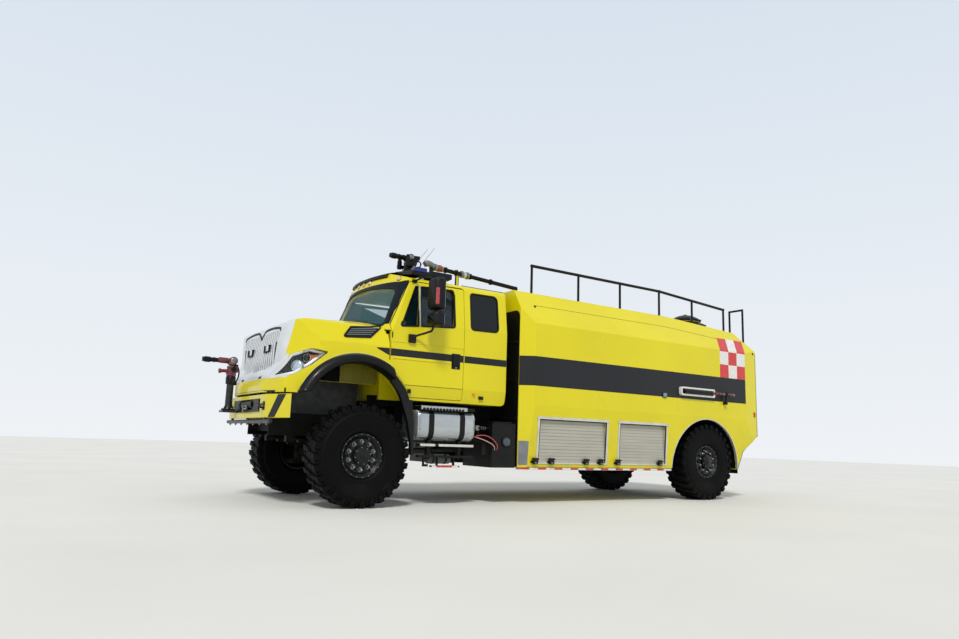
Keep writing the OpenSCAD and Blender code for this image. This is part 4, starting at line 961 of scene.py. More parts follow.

# Black panel over the body's front face behind the cab: mostly painted shade of the gap between cab and body.
gap = Shape()
outline = fillet([(-1.135, 0.478, 0.01), (1.135, 0.478, 0.01), (1.135, 2.600, 0.10), (-1.135, 2.600, 0.10)], 6)
gap.prism(outline, "yz", BODY_FRONT - 0.002, BODY_FRONT + 0.0035, 0)
for z in (1.10, 1.62, 2.14):
    gap.box((BODY_FRONT + 0.002, -1.10, z), (BODY_FRONT + 0.010, 1.10, z + 0.030), 0, 0.003)
for y in (1.0, -1.0):
    gap.box((-1.90, y - 0.10, 1.0395), (-2.20, y + 0.10, 1.060), 0, 0.006)
    gap.box((-1.8635, y - 0.09, 0.62), (-1.858, y + 0.09, 0.98), 0, 0.003)
gap.piece("body_front_shade_panel", "chassis", "black_paint")
apron = Shape()
apron.box((-0.250, 0.700, 1.192), (-2.100, 0.712, 1.322), 0, 0.003)
for k in range(8):
    apron.box((-0.330 - k*0.23, 0.712, 1.200), (-0.350 - k*0.23, 0.726, 1.316), 0, 0.003)
apron.box((-0.640, 0.712, 0.900), (-2.100, 0.720, 1.200), 0, 0.003)
apron.mirrored().piece("under_cab_aprons", "chassis", "liner_black")
valve = Shape()
valve.rod((-1.868, 1.05, 0.966), (-1.700, 1.05, 0.966), 0.016, 0)
valve.lathe((-1.690, 1.035, 0.966), (0, 1, 0), [(0.036, -0.03), (0.038, 0.0), (0.034, 0.012), (0.020, 0.016)], 1, 28, closed=False)
valve.rod((-1.690, 1.05, 0.930), (-1.690, 1.04, 0.850), 0.014, 0)
for k in range(3):
    valve.rod((-1.730 - k*0.03, 1.05, 0.966), (-1.736 - k*0.03, 1.05, 0.966), 0.024, 2)
valve.mirrored().piece("drain_valves", "chassis", "black_paint", "zinc", "zinc")
work = Shape()
work.lathe((-2.081, 1.1285, 0.798), (0, 1, 0), [(0.066, 0), (0.066, 0.020), (0.058, 0.026)], 1, 32, closed=False)
work.lathe((-2.081, 1.1520, 0.798), (0, 1, 0), [(0.057, 0), (0.052, 0.008), (0.030, 0.015)], 0, 32, closed=False)
work.mirrored().piece("work_lamps", "chassis", "teal_lens", "black_plastic")

CORDS = (("cable_red", "wire_red", 0.014, ((-1.606, 1.040, 0.836), (-1.680, 1.075, 0.868), (-1.760, 1.110, 0.872),
          (-1.835, 1.142, 0.845), (-1.900, 1.155, 0.790), (-1.935, 1.152, 0.735), (-1.938, 1.131, 0.690))),
         ("cable_pink", "wire_pink", 0.014, ((-1.600, 0.960, 0.850), (-1.650, 1.040, 0.848), (-1.740, 1.105, 0.818),
          (-1.830, 1.145, 0.775), (-1.885, 1.150, 0.735), (-1.905, 1.131, 0.690))),
         ("cable_black", "hose_rubber", 0.018, ((-1.600, 0.900, 0.850), (-1.660, 0.935, 0.836), (-1.720, 0.958, 0.805),
          (-1.775, 0.965, 0.790), (-1.828, 0.955, 0.805), (-1.868, 0.932, 0.838))))


for name, finish, size, points in CORDS:
    for side, sign in (("left", 1), ("right", -1)):
        path = smooth_path([(x, sign*y, z) for x, y, z in points], 5)
        wire = Shape()
        wire.tube(path, size/2, 0, 10)
        made = wire.piece(name + "_" + side, "chassis", finish)
        path = [p + SHIFT for p in path]

# Cab stripe, seals, handles and lamps


def cab_y(z):
    return CAB_Y if z <= 2.25 else CAB_Y - 0.07*(z - 2.25)/0.54


def sided(shape, sign):
    """The shape itself on the left, mirrored on the right."""
    if sign < 0:
        shape.verts = [Vector((v.x, -v.y, v.z)) for v in shape.verts]
    return shape


DOOR_X = (-0.392, -1.443)
strip = Shape()
strip.box((-1.457, CAB_Y - 0.004, 1.80), (-2.127, CAB_Y + 0.0015, 1.89))
strip.mirrored().piece("cab_stripe", "chassis", "stripe_film")

VENT = [(-0.505, 2.180, 0.02), (-0.762, 2.205, 0.015), (-0.762, 2.735, 0.015), (-0.712, 2.733, 0.02)]
PANE = [(-0.792, 2.208, 0.015), (-0.792, 2.740, 0.02), (-1.300, 2.758, 0.04), (-1.300, 2.245, 0.04)]
REAR_PANE = [(-1.554, 2.250, 0.04), (-1.554, 2.745, 0.04), (-1.984, 2.750, 0.06), (-1.984, 2.260, 0.06)]


def seal_ring(shape, outline, out, inn, proud, mat=0):
    path = fillet(outline, 5)
    shape.frame(grown(path, out), grown(path, -inn), lambda p, d: (p[0], cab_y(p[1]) - 0.012 + d, p[1]), 0.012 + proud,
                mat)


for side, sign in (("left", 1), ("right", -1)):
    strip = Shape()
    strip.box((DOOR_X[0], CAB_Y - 0.004, 1.80), (DOOR_X[1], CAB_Y + 0.0015, 1.89))
    strip.box((DOOR_X[0], CAB_Y - 0.004, 1.975), (DOOR_X[1], CAB_Y + 0.0045, 1.987), 1, 0.002)
    strip.prism([(CAB_Y - 0.003, 1.797), (CAB_Y + 0.0008, 1.796), (CAB_Y + 0.007, 1.768), (CAB_Y - 0.003, 1.764)], "yz",
                DOOR_X[0] - 0.03, -1.250, 1)
    strip.box((DOOR_X[0] - 0.21, CAB_Y - 0.004, 1.4510), (DOOR_X[1], CAB_Y + 0.0012, 1.4565), 2)
    sided(strip, sign).piece("door_stripe_" + side, side + "_door", "stripe_film", "yellow_paint", "seal")
    door = Shape()
    for outline in (VENT, PANE):
        seal_ring(door, outline, 0.010, 0.012, 0.004)
    door.sheet([[Vector((x, cab_y(z) + 0.003, z)) for x in (-0.768, -0.786)] for z in (2.205, 2.25, 2.74)],
               [[Vector((0, 1, 0))]*2]*3, 0.004, 0.010, 3)
    door.box((-1.262, CAB_Y - 0.006, 1.705), (-1.392, CAB_Y + 0.006, 1.905), 1, 0.010)
    door.box((-1.276, CAB_Y + 0.002, 1.745), (-1.378, CAB_Y + 0.026, 1.885), 1, 0.014)
    door.lathe((-1.327, CAB_Y, 1.722), (0, 1, 0), [(0.013, 0), (0.013, 0.012), (0.009, 0.014)], 2, 20, closed=False)
    door.box((-0.640, CAB_Y - 0.004, 1.355), (-0.690, CAB_Y + 0.008, 1.405), 1, 0.006)
    for z in (1.52, 2.06):
        door.rod((-0.399, CAB_Y + 0.004, z - 0.035), (-0.399, CAB_Y + 0.004, z + 0.035), 0.007, 1, 12)
    sided(door, sign).piece("door_trim_" + side, side + "_door", "seal", "black_plastic", "zinc", "bright_trim")

cab = Shape()
seal_ring(cab, REAR_PANE, 0.014, 0.006, 0.005)
cab.box((-1.700, CAB_Y - 0.014, 1.335), (-1.770, CAB_Y + 0.006, 1.378), 0, 0.005)
cab.mirrored().piece("cab_seals", "chassis", "seal")
markers = Shape()
markers.box((-1.600, CAB_Y - 0.012, 1.386), (-1.636, CAB_Y + 0.010, 1.410), 0, 0.005)
markers.mirrored().piece("cab_side_markers", "chassis", "amber_lens")
dark = Shape()
dark.prism(grown(fillet(REAR_PANE, 5), -0.004), "xz", CAB_Y - 0.0088, CAB_Y - 0.0048, 0)
dark.verts = [Vector((v.x, v.y - (CAB_Y - cab_y(v.z)), v.z)) for v in dark.verts]
dark.mirrored().piece("rear_window_tint", "chassis", "dark_window")

SCREEN_X, SCREEN_Z, LEAN, SCREEN_R = -0.163, 2.215, math.radians(22.8), 2.260


def on_screen(y, h, out):
    """Point of the windscreen's outer face at height h along it, moved out by a length."""
    x = -SCREEN_R + math.sqrt((SCREEN_R + out)**2 - y*y)
    return Vector((SCREEN_X + x*math.cos(LEAN) - h*math.sin(LEAN), y, SCREEN_Z + x*math.sin(LEAN) + h*math.cos(LEAN)))


def dense(path, gap):
    """Closed outline with points no further apart than gap."""
    out = []
    for i, p in enumerate(path):
        q = path[(i + 1) % len(path)]
        n = max(1, math.ceil((q - p).length/gap))
        out += [p.lerp(q, k/n) for k in range(n)]
    return out


half = [(0.880, 0.040, 0.06), (0.830, 0.590, 0.09)]
path = dense(fillet(half + [(-u, v, r) for u, v, r in half[::-1]], 6), 0.08)
screen = Shape()
screen.frame(grown(path, 0.022), grown(path, -0.014), lambda p, d: on_screen(p[0], p[1], -0.010 + d), 0.014)
screen.piece("screen_seal", "chassis", "seal")

band = Shape()
grid, normals = [], []
for p in grown(path, 0.018):
    if p.y < 0.05:
        continue
    near = on_screen(p.x, p.y, 0.0)
    sign = math.copysign(1, p.x)
    if abs(p.x) < 0.72:
        far = Vector((near.y, 2.797))
    elif p.y < 0.50:
        far = Vector((sign*(0.984 - 0.055*(near.z - 2.215)), near.z))
    else:
        far = Vector((sign*0.952, 2.797))
    row = [laid(("cab_shell",), *Vector((near.y, near.z)).lerp(far, m/5), "front") for m in range(6)]
    grid.append([q for q, _ in row])
    normals.append([n for _, n in row])
band.sheet(grid, normals, 0.004, 0.002)
band.piece("screen_band", "chassis", "screen_band")

visor = Shape()
grid = []
for k in range(15):
    y = -0.56 + 0.08*k
    foot, top = laid(("cab_shell",), y, 2.886, "front")[0], laid(("cab_shell",), y, 2.912, "front")[0]
    drop = 0.02*max(0.0, abs(y) - 0.4)/0.16
    grid.append([foot + Vector((0.004, 0, 0)), foot + Vector((0.022, 0, 0.006)), top + Vector((0.026, 0, 0.018)),
                 Vector((-0.575, y, 2.976 - drop)), Vector((-0.650, y, 2.992 - drop))])
visor.sheet(grid, [[Vector((0.7, 0, 0.7))]*5]*15, 0.0, 0.010)
visor.piece("roof_visor", "chassis", "black_plastic")

wipers = Shape()
for y0, y1 in ((0.66, 0.06), (-0.08, -0.66)):
    arm = [on_screen(y0, -0.01, 0.016), on_screen(y0 - 0.12, 0.045, 0.030), on_screen((y0 + y1)/2, 0.085, 0.024)]
    wipers.tube(smooth_path(arm, 6), 0.0065, 0, 8)
    wipers.tube([on_screen(y0 - 0.06 + (y1 - y0 + 0.06)*k/10, 0.060 + 0.045*k/10, 0.013) for k in range(11)], 0.0075, 0, 8)
    wipers.lathe(on_screen(y0, -0.01, 0.0), (0.9, 0, 0.4), [(0.018, 0), (0.018, 0.020), (0.010, 0.026)], 0, 18,
                 closed=False)
wipers.piece("wipers", "chassis", "black_plastic")

beads = Shape()
for y, z in ((-0.78, 2.835), (-0.17, 2.855), (0.0, 2.855), (0.17, 2.855), (0.78, 2.835)):
    point, normal = laid(("cab_shell",), y, z, "front")
    beads.lathe(point - normal*0.004, normal, [(0.032, 0), (0.032, 0.006), (0.026, 0.016), (0.012, 0.022)], 0, 24,
                closed=False)
    beads.lathe(point - normal*0.004, normal, [(0.037, 0), (0.037, 0.006), (0.032, 0.008)], 1, 24, closed=False)
beads.piece("roof_markers", "chassis", "pale_amber", "seal")

# Light bar lenses, roof fittings and aerials

bar = Shape()
rings = []
for y, cut in ((0.690, 0.010), (0.705, 0.0), (0.925, 0.0), (0.955, 0.012)):
    top = 2.990 - 0.055*max(0.0, y - 0.5)/0.46
    rings.append([(p.x, y, p.y) for p in grown(fillet([(-0.733, top - 0.03, 0.01), (-0.733, top + 0.016, 0.02),
                                                      (-0.912, top + 0.022, 0.02), (-0.912, top - 0.03, 0.01)], 4), -cut)])
bar.loft(rings, 0)
bar.box((-0.700, 0.860, 2.926), (-0.885, 0.968, 2.988), 0, 0.022)
for y in (0.30, 0.02):
    bar.box((-0.760, y, 2.984), (-0.880, y + 0.20, 2.999), 1, 0.006)
bar.mirrored().piece("light_bar_lenses", "chassis", "blue_lens", "smoke_lens")
edge = Shape()
for k in range(12):
    y = k*0.08
    z = 2.990 - 0.055*max(0.0, y - 0.5)/0.46
    z1 = 2.990 - 0.055*max(0.0, y + 0.08 - 0.5)/0.46
    edge.sheet([[Vector((-0.6595, y, z - 0.024)), Vector((-0.6595, y + 0.08, z1 - 0.024))],
                [Vector((-0.6595, y, z - 0.010)), Vector((-0.6595, y + 0.08, z1 - 0.010))]], [[Vector((1, 0, 0))]*2]*2,
               0.003, 0.002)
edge.mirrored().piece("light_bar_edge", "chassis", "black_plastic")

PIPE_Y = 0.330
pipe = Shape()
pipe.tube(smooth_path([(-1.185, PIPE_Y, 3.215), (-1.225, PIPE_Y, 3.236), (-1.285, PIPE_Y, 3.222), (-1.330, PIPE_Y, 3.198)],
                      6), 0.042, 0, 20)
for x, r, width, mat in ((-1.345, 0.052, 0.016, 0), (-1.372, 0.046, 0.016, 2), (-1.414, 0.050, 0.030, 1),
                         (-1.456, 0.044, 0.014, 2), (-1.520, 0.044, 0.018, 3), (-1.700, 0.044, 0.018, 3),
                         (-1.790, 0.050, 0.022, 2), (-1.836, 0.046, 0.026, 4), (-1.885, 0.052, 0.022, 2),
                         (-1.935, 0.043, 0.016, 3), (-2.300, 0.043, 0.016, 3)):
    z = 3.2 + (3.094 - 3.2)*(-x - 1.29)/(2.76 - 1.29)
    pipe.lathe((x, PIPE_Y, z), (1, 0, -0.072), [(0.028, -width), (r, -width*0.8), (r, width*0.8), (0.028, width)], mat, 28,
               closed=False)
for k in range(6):
    a = math.radians(60*k)
    pipe.nut((-1.327, PIPE_Y + 0.040*math.cos(a), 3.199 + 0.040*math.sin(a)), (1, 0, 0), 0.006, 0.010, 2)
pipe.box((-1.698, PIPE_Y - 0.050, 2.952), (-1.732, PIPE_Y + 0.050, 2.960), 5, 0.002)
pipe.box((-1.700, PIPE_Y - 0.016, 2.956), (-1.730, PIPE_Y + 0.016, 3.220), 5, 0.004)
pipe.piece("roof_pipe_fittings", "chassis", "grey_metal", "coupling_red", "zinc", "black_paint", "chrome", "yellow_paint")

whips = Shape()
for x0, x1, z1 in ((-0.779, -1.075, 3.355), (-0.880, -1.180, 3.391)):
    whips.tube([(x0, 0.60, 2.975), (x0 + (x1 - x0)*0.12, 0.60, 2.975 + (z1 - 2.975)*0.12), (x1, 0.60, z1)], 0.0, 0, 8,
               radii=[0.006, 0.0035, 0.002])
    whips.lathe((x0, 0.60, 2.975), (-0.35, 0, 1), [(0.018, -0.012), (0.018, 0.012), (0.010, 0.040)], 0, 18, closed=False)
whips.piece("aerials", "chassis", "black_plastic")

# Monitors: collars, handwheels, gear housings and hose

POST_X, POST_Y, POST_TOP = 1.122, -0.450, 1.5153
foot = Shape()
foot.lathe((POST_X, POST_Y, 1.078), (0, 0, 1), [(0.086, 0), (0.086, 0.018), (0.060, 0.022), (0.050, 0.050), (0.046, 0.060)],
           0, 40, closed=False)
for k in range(8):
    a = math.radians(45*k + 20)
    foot.nut((POST_X + 0.072*math.cos(a), POST_Y + 0.072*math.sin(a), 1.096), (0, 0, 1), 0.009, 0.012, 1)
foot.lathe((POST_X, POST_Y, 1.440), (0, 0, 1), [(0.045, -0.030), (0.060, -0.026), (0.062, 0.060), (0.055, 0.072)], 0, 40,
           closed=False)
foot.box((POST_X - 0.075, POST_Y - 0.022, 1.400), (POST_X - 0.040, POST_Y + 0.022, 1.450), 0, 0.006)
foot.piece("post_fittings", "chassis", "black_paint", "zinc")


def monitor(name, x, y, z, post, r, finish):
    """Details of a swivel on its post: flange bolts, gear housing, handwheel and pivot caps."""
    shape = Shape()
    for k in range(8):
        a = math.radians(45*k)
        shape.nut((x + (post + 0.014)*0.86*math.cos(a), y + (post + 0.014)*0.86*math.sin(a), z + 0.1195), (0, 0, 1), 0.0075,
                  0.010, 1)
    for h in (0.012, 0.060, 0.108):
        shape.lathe((x, y, z + h), (0, 0, 1), [(post + 0.012, -0.008), (post + 0.017, -0.006), (post + 0.017, 0.006),
                    (post + 0.012, 0.008)], 0, 40, closed=False)
    shape.lathe((x, y - post - 0.006, z + 0.060), (0, -1, 0), [(0.030, 0), (0.030, 0.030), (0.024, 0.036)], 2, 28,
                closed=False)
    shape.rod((x, y - post - 0.03, z + 0.060), (x, y - post - 0.062, z + 0.060), 0.008, 1)
    shape.lathe((x, y - post - 0.062, z + 0.060), (0, 1, 0), [(0.044, -0.005), (0.048, 0.0), (0.044, 0.005),
                (0.038, 0.004), (0.038, -0.004)], 2, 32)
    for k in range(3):
        a = math.radians(120*k)
        shape.rod((x, y - post - 0.062, z + 0.060), (x + 0.041*math.cos(a), y - post - 0.062, z + 0.060 + 0.041*math.sin(a)),
                  0.004, 2, 8)
    for s in (-1, 1):
        reach = r + 0.045
        shape.lathe((x, y + s*(reach - 0.001), z + 0.190), (0, s, 0), [(0.040, 0), (0.040, 0.008), (0.030, 0.014),
                    (0.012, 0.016)], 1, 28, closed=False)
    shape.box((x - post - 0.030, y - 0.034, z + 0.075), (x - post + 0.010, y + 0.034, z + 0.150), 2, 0.008)
    shape.piece(name, name.replace("_details", ""), finish, "zinc", "black_plastic")


bulk = Shape()
for y in (-0.128, 0.128):
    bulk.lathe((-1.020, y, 3.200), (0, 0, 1), [(0.026, 0), (0.034, 0.006), (0.034, 0.120), (0.028, 0.126), (0.028, 0.160),
               (0.018, 0.170)], 0, 28, closed=False)
    bulk.box((-0.985, y - 0.020, 3.215), (-1.150, y + 0.020, 3.262), 0, 0.008)
    bulk.rod((-1.100, y*0.62, 3.238), (-1.100, y, 3.238), 0.016, 1)
bulk.box((-1.162, -0.060, 3.300), (-1.230, 0.060, 3.392), 0, 0.010)
bulk.lathe((-1.226, 0.0, 3.372), (-1, 0, 0.15), [(0.024, 0), (0.024, 0.020), (0.032, 0.024), (0.032, 0.040), (0.022, 0.046)], 0,
           24, closed=False)
bulk.box((-1.164, -0.100, 3.250), (-1.186, 0.100, 3.330), 0, 0.006)
for y in (-0.100, 0.100):
    bulk.box((-1.164, y - 0.010, 3.220), (-1.092, y + 0.010, 3.330), 0, 0.005)
bulk.tube(smooth_path([(-1.226, 0.03, 3.330), (-1.262, 0.05, 3.300), (-1.250, 0.07, 3.240), (-1.180, 0.07, 3.215)], 5), 0.010, 0, 10)
bulk.piece("roof_monitor_drive", "roof_monitor", "black_paint", "zinc")
monitor("bumper_monitor_details", POST_X, POST_Y, POST_TOP, 0.044, 0.028, "monitor_red")
monitor("roof_monitor_details", -1.100, 0.0, 3.1603, 0.056, 0.034, "black_paint")


def nozzle_rings(name, x, y, z, r, reach, places):
    shape = Shape()
    for at, more, width in places:
        shape.lathe((x + at, y, z), (1, 0, 0), [(r + 0.0005, -width), (r + more, -width*0.8), (r + more, width*0.8),
                    (r + 0.0005, width)], 0, 32, closed=False)
    for k in range(12):
        a = 2*math.pi*k/12
        shape.box((x + reach - 0.022, y + (r - 0.003)*math.cos(a) - 0.004, z + (r - 0.003)*math.sin(a) - 0.004),
                  (x + reach - 0.0005, y + (r - 0.003)*math.cos(a) + 0.004, z + (r - 0.003)*math.sin(a) + 0.004), 1, 0.001)
    shape.piece(name + "_rings", name, "black_paint", "oily_steel")


sleeve = Shape()
sleeve.lathe((POST_X, POST_Y, 1.7056), (1, 0, 0), [(0.0285, 0.032), (0.034, 0.036), (0.035, 0.060), (0.035, 0.120), (0.033, 0.160),
             (0.0285, 0.178)], 0, 36, closed=False)
sleeve.lathe((POST_X, POST_Y, 1.7056), (1, 0, 0), [(0.0285, 0.262), (0.030, 0.266), (0.0302, 0.300), (0.0302, 0.355), (0.030, 0.3665),
             (0.0285, 0.3665)], 1, 36, closed=False)
sleeve.box((POST_X + 0.060, POST_Y - 0.018, 1.730), (POST_X + 0.170, POST_Y + 0.018, 1.743), 1, 0.005)
sleeve.piece("bumper_nozzle_sleeve", "bumper_nozzle", "monitor_red", "black_paint")
stub = Shape()
stub.lathe((POST_X + 0.030, POST_Y, 1.580), (1, 0, -0.06), [(0.020, 0), (0.022, 0.10), (0.030, 0.104), (0.030, 0.128), (0.018, 0.132)],
           0, 28, closed=False)
stub.box((POST_X - 0.072, POST_Y - 0.050, 1.560), (POST_X - 0.030, POST_Y + 0.050, 1.650), 0, 0.008)
for y in (-0.060, 0.060):
    stub.lathe((POST_X - 0.010, POST_Y + y*0.8, 1.600), (0, math.copysign(1, y), 0), [(0.030, 0), (0.032, 0.004), (0.032, 0.034),
               (0.026, 0.040)], 1, 28, closed=False)
stub.piece("bumper_monitor_stub", "bumper_monitor", "monitor_red", "black_paint")
nozzle_rings("bumper_nozzle", POST_X, POST_Y, 1.7056, 0.028, 0.368, ((0.075, 0.006, 0.012), (0.150, 0.004, 0.020),
             (0.225, 0.006, 0.008), (0.325, 0.0095, 0.004)))
nozzle_rings("roof_nozzle", -1.100, 0.0, 3.3506, 0.034, 0.300, ((0.085, 0.005, 0.010), (0.165, 0.006, 0.008)))

hose = Shape()
path = smooth_path([(1.082, POST_Y, 1.668), (1.056, POST_Y, 1.650), (1.034, POST_Y, 1.606), (1.026, POST_Y, 1.550),
                    (1.036, POST_Y, 1.492), (1.054, POST_Y, 1.448), (1.080, POST_Y, 1.420)], 4)
hose.tube(path, 0.009, 0, 12)
made = hose.piece("monitor_hose", None, "hose_rubber")
path = [p + SHIFT for p in path]
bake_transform(made)

# Mirrors

for side, sign in (("left", 1), ("right", -1)):
    mirror = Shape()
    shell = fillet([(1.168, 2.400, 0.04), (1.402, 2.400, 0.04), (1.402, 2.800, 0.05), (1.168, 2.800, 0.05)], 5)
    lower = fillet([(1.168, 2.192, 0.04), (1.402, 2.192, 0.04), (1.402, 2.362, 0.035), (1.168, 2.362, 0.035)], 5)
    for outline in (shell, lower):
        rings = []
        for x, cut in ((-0.920, 0.008), (-0.914, 0.0), (-0.830, 0.0), (-0.800, 0.010), (-0.784, 0.030), (-0.780, 0.052)):
            rings.append([(x, p.x, p.y) for p in grown(outline, -cut)])
        mirror.loft(rings, 0)
        mirror.prism(grown(outline, -0.014), "yz", -0.926, -0.918, 1)
        mirror.prism(grown(outline, 0.002), "yz", -0.872, -0.862, 0)
    mirror.box((-0.792, 1.360, 2.445), (-0.832, 1.4055, 2.655), 2, 0.006)
    mirror.tube(smooth_path([(-0.670, CAB_Y + 0.020, 2.050), (-0.740, 1.085, 2.085), (-0.815, 1.170, 2.118),
                (-0.858, 1.220, 2.165), (-0.866, 1.240, 2.42)], 6), 0.014, 0)
    mirror.tube(smooth_path([(-0.712, cab_y(2.78) + 0.010, 2.790), (-0.745, 1.08, 2.818), (-0.820, 1.18, 2.815),
                (-0.850, 1.24, 2.780)], 6), 0.012, 0)
    mirror.box((-0.617, CAB_Y + 0.0005, 1.980), (-0.717, CAB_Y + 0.036, 2.090), 0, 0.012)
    mirror.box((-0.665, cab_y(2.78) + 0.0005, 2.765), (-0.730, cab_y(2.78) + 0.026, 2.812), 0, 0.008)
    sided(mirror, sign).piece("mirror_unit_" + side, side + "_door", "black_plastic", "mirror_glass", "red_lens",
                              stands_for=["mirror_" + side])

# Hood: vents, stripe ends, grille, painted shade strips round the grille and small lamps

HOOD = ("hood_shell",)
vents, slats = Shape(), Shape()
corners = [Vector(p) for p in ((0.224, 1.974), (0.123, 2.100), (-0.296, 2.159), (-0.121, 2.000))]
patch(vents, HOOD, corners, "left", (4, 10), 0.004)
outline = fillet([(u, v, 0.012) for u, v in corners], 3)
ribbon(vents, HOOD, grown(outline, -0.004), grown(outline, 0.012), "left", 0.009)
for k in range(1, 5):
    a, b = corners[0].lerp(corners[1], k/5), corners[3].lerp(corners[2], k/5)
    step = Vector((0, 0.0055))
    a, b = a + Vector((-0.02, 0)), b + Vector((0.02, 0))
    patch(slats, HOOD, [a - step, b - step, b + step, a + step], "left", (8, 1), 0.012)
vents.mirrored().piece("hood_vents", "hood", "black_plastic")
slats.mirrored().piece("hood_vent_slats", "hood", "slat_grey")

film = Shape()
patch(film, HOOD, [(-0.374, 1.800), (-0.205, 1.872), (-0.205, 1.884), (-0.374, 1.890)], "left", (10, 3), 0.0015)
film.mirrored().piece("hood_stripe", "hood", "stripe_film")


def nose_x(y, z):
    """Front of the hood over the grille."""
    return min(0.9077 - 0.1147*(z - 1.9), 0.9118 + 0.0575*(0.7 - abs(y)), 0.9951 - 0.49*(z - 1.45) if z < 1.556 else 9)


def nose_strip(shape, points, width, out, back=0.02, mat=0):
    """Flat band on the nose along points given as y, z."""
    for (y0, z0), (y1, z1) in zip(points, points[1:]):
        run = Vector((y1 - y0, z1 - z0)).normalized()
        off = Vector((-run.y, run.x))*width/2
        n = max(1, int(abs(y1 - y0)/0.05))
        grid = []
        for s in (-1, 1):
            row = []
            for k in range(n + 1):
                y, z = y0 + (y1 - y0)*k/n + s*off.x, z0 + (z1 - z0)*k/n + s*off.y
                row.append(Vector((nose_x(y, z), y, z)))
            grid.append(row)
        shape.sheet(grid, [[Vector((1, 0, 0))]*(n + 1)]*2, out, back, mat)


def grille_half(z):
    """Half width of the grille's opening at height z."""
    return 0.640 + 0.104*(z - 1.520)/0.520 - 0.036


grating = Shape()
rows = [1.557 + (2.003 - 1.557)*k/8 for k in range(9)]
grid = [[Vector((nose_x(y, z) - 0.0052, y, z)) for y in [grille_half(z)*(k/12 - 1) for k in range(25)]] for z in rows]
grating.sheet(grid, [[Vector((1, 0, 0))]*25]*9, 0.0, 0.001, 1)
PITCH = 0.072
for k in range(-9, 10):
    y = k*PITCH
    base = max(1.557, 1.520 + (abs(y) + 0.0265 + 0.036 - 0.640)*5.0)
    grid = [[Vector((nose_x(y + s, z) - 0.0052, y + s, z)) for s in (-0.0255, 0.0255)]
            for z in (base + (2.003 - base)*m/6 for m in range(7))]
    grating.sheet(grid, [[Vector((1, 0, 0))]*2]*7, 0.0035, 0.0005, 0)
grating.piece("grille_bars", "hood", "silver_paint", "lamp_black")

# Black strips along the top edge of the grille opening and along the lip below it: painted shade in the gaps round the
# grille.
shade_strips = Shape()
wing = [(0.0, 1.959), (0.070, 2.015), (0.150, 2.050), (0.300, 2.058), (0.500, 2.052), (0.700, 2.030), (0.722, 1.995)]
wing = [tuple(p) for p in smooth_path([(0, a, b) for a, b in wing], 3)]
wing = [(p[1], p[2]) for p in wing]
nose_strip(shade_strips, wing, 0.027, 0.004)
nose_strip(shade_strips, [(-y, z) for y, z in wing], 0.027, 0.004)
lip = [(0.0, 1.512), (0.300, 1.512), (0.590, 1.512), (0.655, 1.520), (0.700, 1.555)]
nose_strip(shade_strips, lip, 0.010, 0.003)
nose_strip(shade_strips, [(-y, z) for y, z in lip], 0.010, 0.003)
shade_strips.piece("grille_gap_shade", "hood", "lamp_black")
small = Shape()
for sign in (1, -1):
    for y0, y1, z0, z1 in ((0.240, 0.268, 1.778, 1.856), (0.422, 0.450, 1.778, 1.856), (0.240, 0.450, 1.768, 1.784)):
        small.box((nose_x(y1, z1) - 0.016, sign*y0, z0), (nose_x(y0, z0) + 0.016, sign*y1, z1), 0, 0.005)
    small.box((nose_x(0.42, 1.85) - 0.014, sign*0.266, 1.786), (nose_x(0.27, 1.79) + 0.006, sign*0.424, 1.852), 1, 0.005)
small.piece("grille_lamps", "hood", "lamp_black", "white_lens")

lips = Shape()
for k in range(1, 13):
    y0, y1 = -0.98 + k*0.14, -0.98 + (k + 1)*0.14
    patch(lips, HOOD, [(y0, 1.272), (y1, 1.272), (y1, 1.296), (y0, 1.296)], "front", (2, 1), 0.004)
for y in (-0.369, 0.369):
    patch(lips, ("hood_shell", "grille"), [(y - 0.045, 1.446), (y + 0.045, 1.446), (y + 0.045, 1.472), (y - 0.045, 1.472)],
          "front", (2, 1), 0.003)
lips.piece("nose_lines", "hood", "seal")

# Headlamps: surround, dark bowl, round lamps, amber lamp and clear cover

LAMP = fillet([(0.450, 1.752, 0.01), (0.640, 1.785, 0.06), (0.845, 1.705, 0.06), (0.985, 1.470, 0.04),
               (0.985, 1.425, 0.01), (0.800, 1.480, 0.06), (0.620, 1.600, 0.06)], 6)
SKIN = [laid(HOOD, -0.05 + 0.02*k, 1.335, "left")[0].y for k in range(54)]


def skin_y(x):
    """Half width of the fender's skin at x."""
    spot = max(0.0, min(52.999, (x + 0.05)/0.02))
    k = int(spot)
    return SKIN[k] + (SKIN[k + 1] - SKIN[k])*(spot - k)


def lamp_columns(cut, count, deep):
    """Columns of points across the lamp's outline, cut in from its edge and set below the skin."""
    outline = grown(LAMP, -cut)
    x0, x1 = min(p.x for p in outline) + 0.002, max(p.x for p in outline) - 0.002
    grid = []
    for k in range(count + 1):
        x = x0 + (x1 - x0)*k/count
        zs = []
        for i, p in enumerate(outline):
            q = outline[i - 1]
            if (p.x - x)*(q.x - x) <= 0 and p.x != q.x:
                zs.append(p.y + (q.y - p.y)*(x - p.x)/(q.x - p.x))
        grid.append([Vector((x, skin_y(x) - deep, min(zs) + (max(zs) - min(zs))*m/4)) for m in range(5)])
    return grid


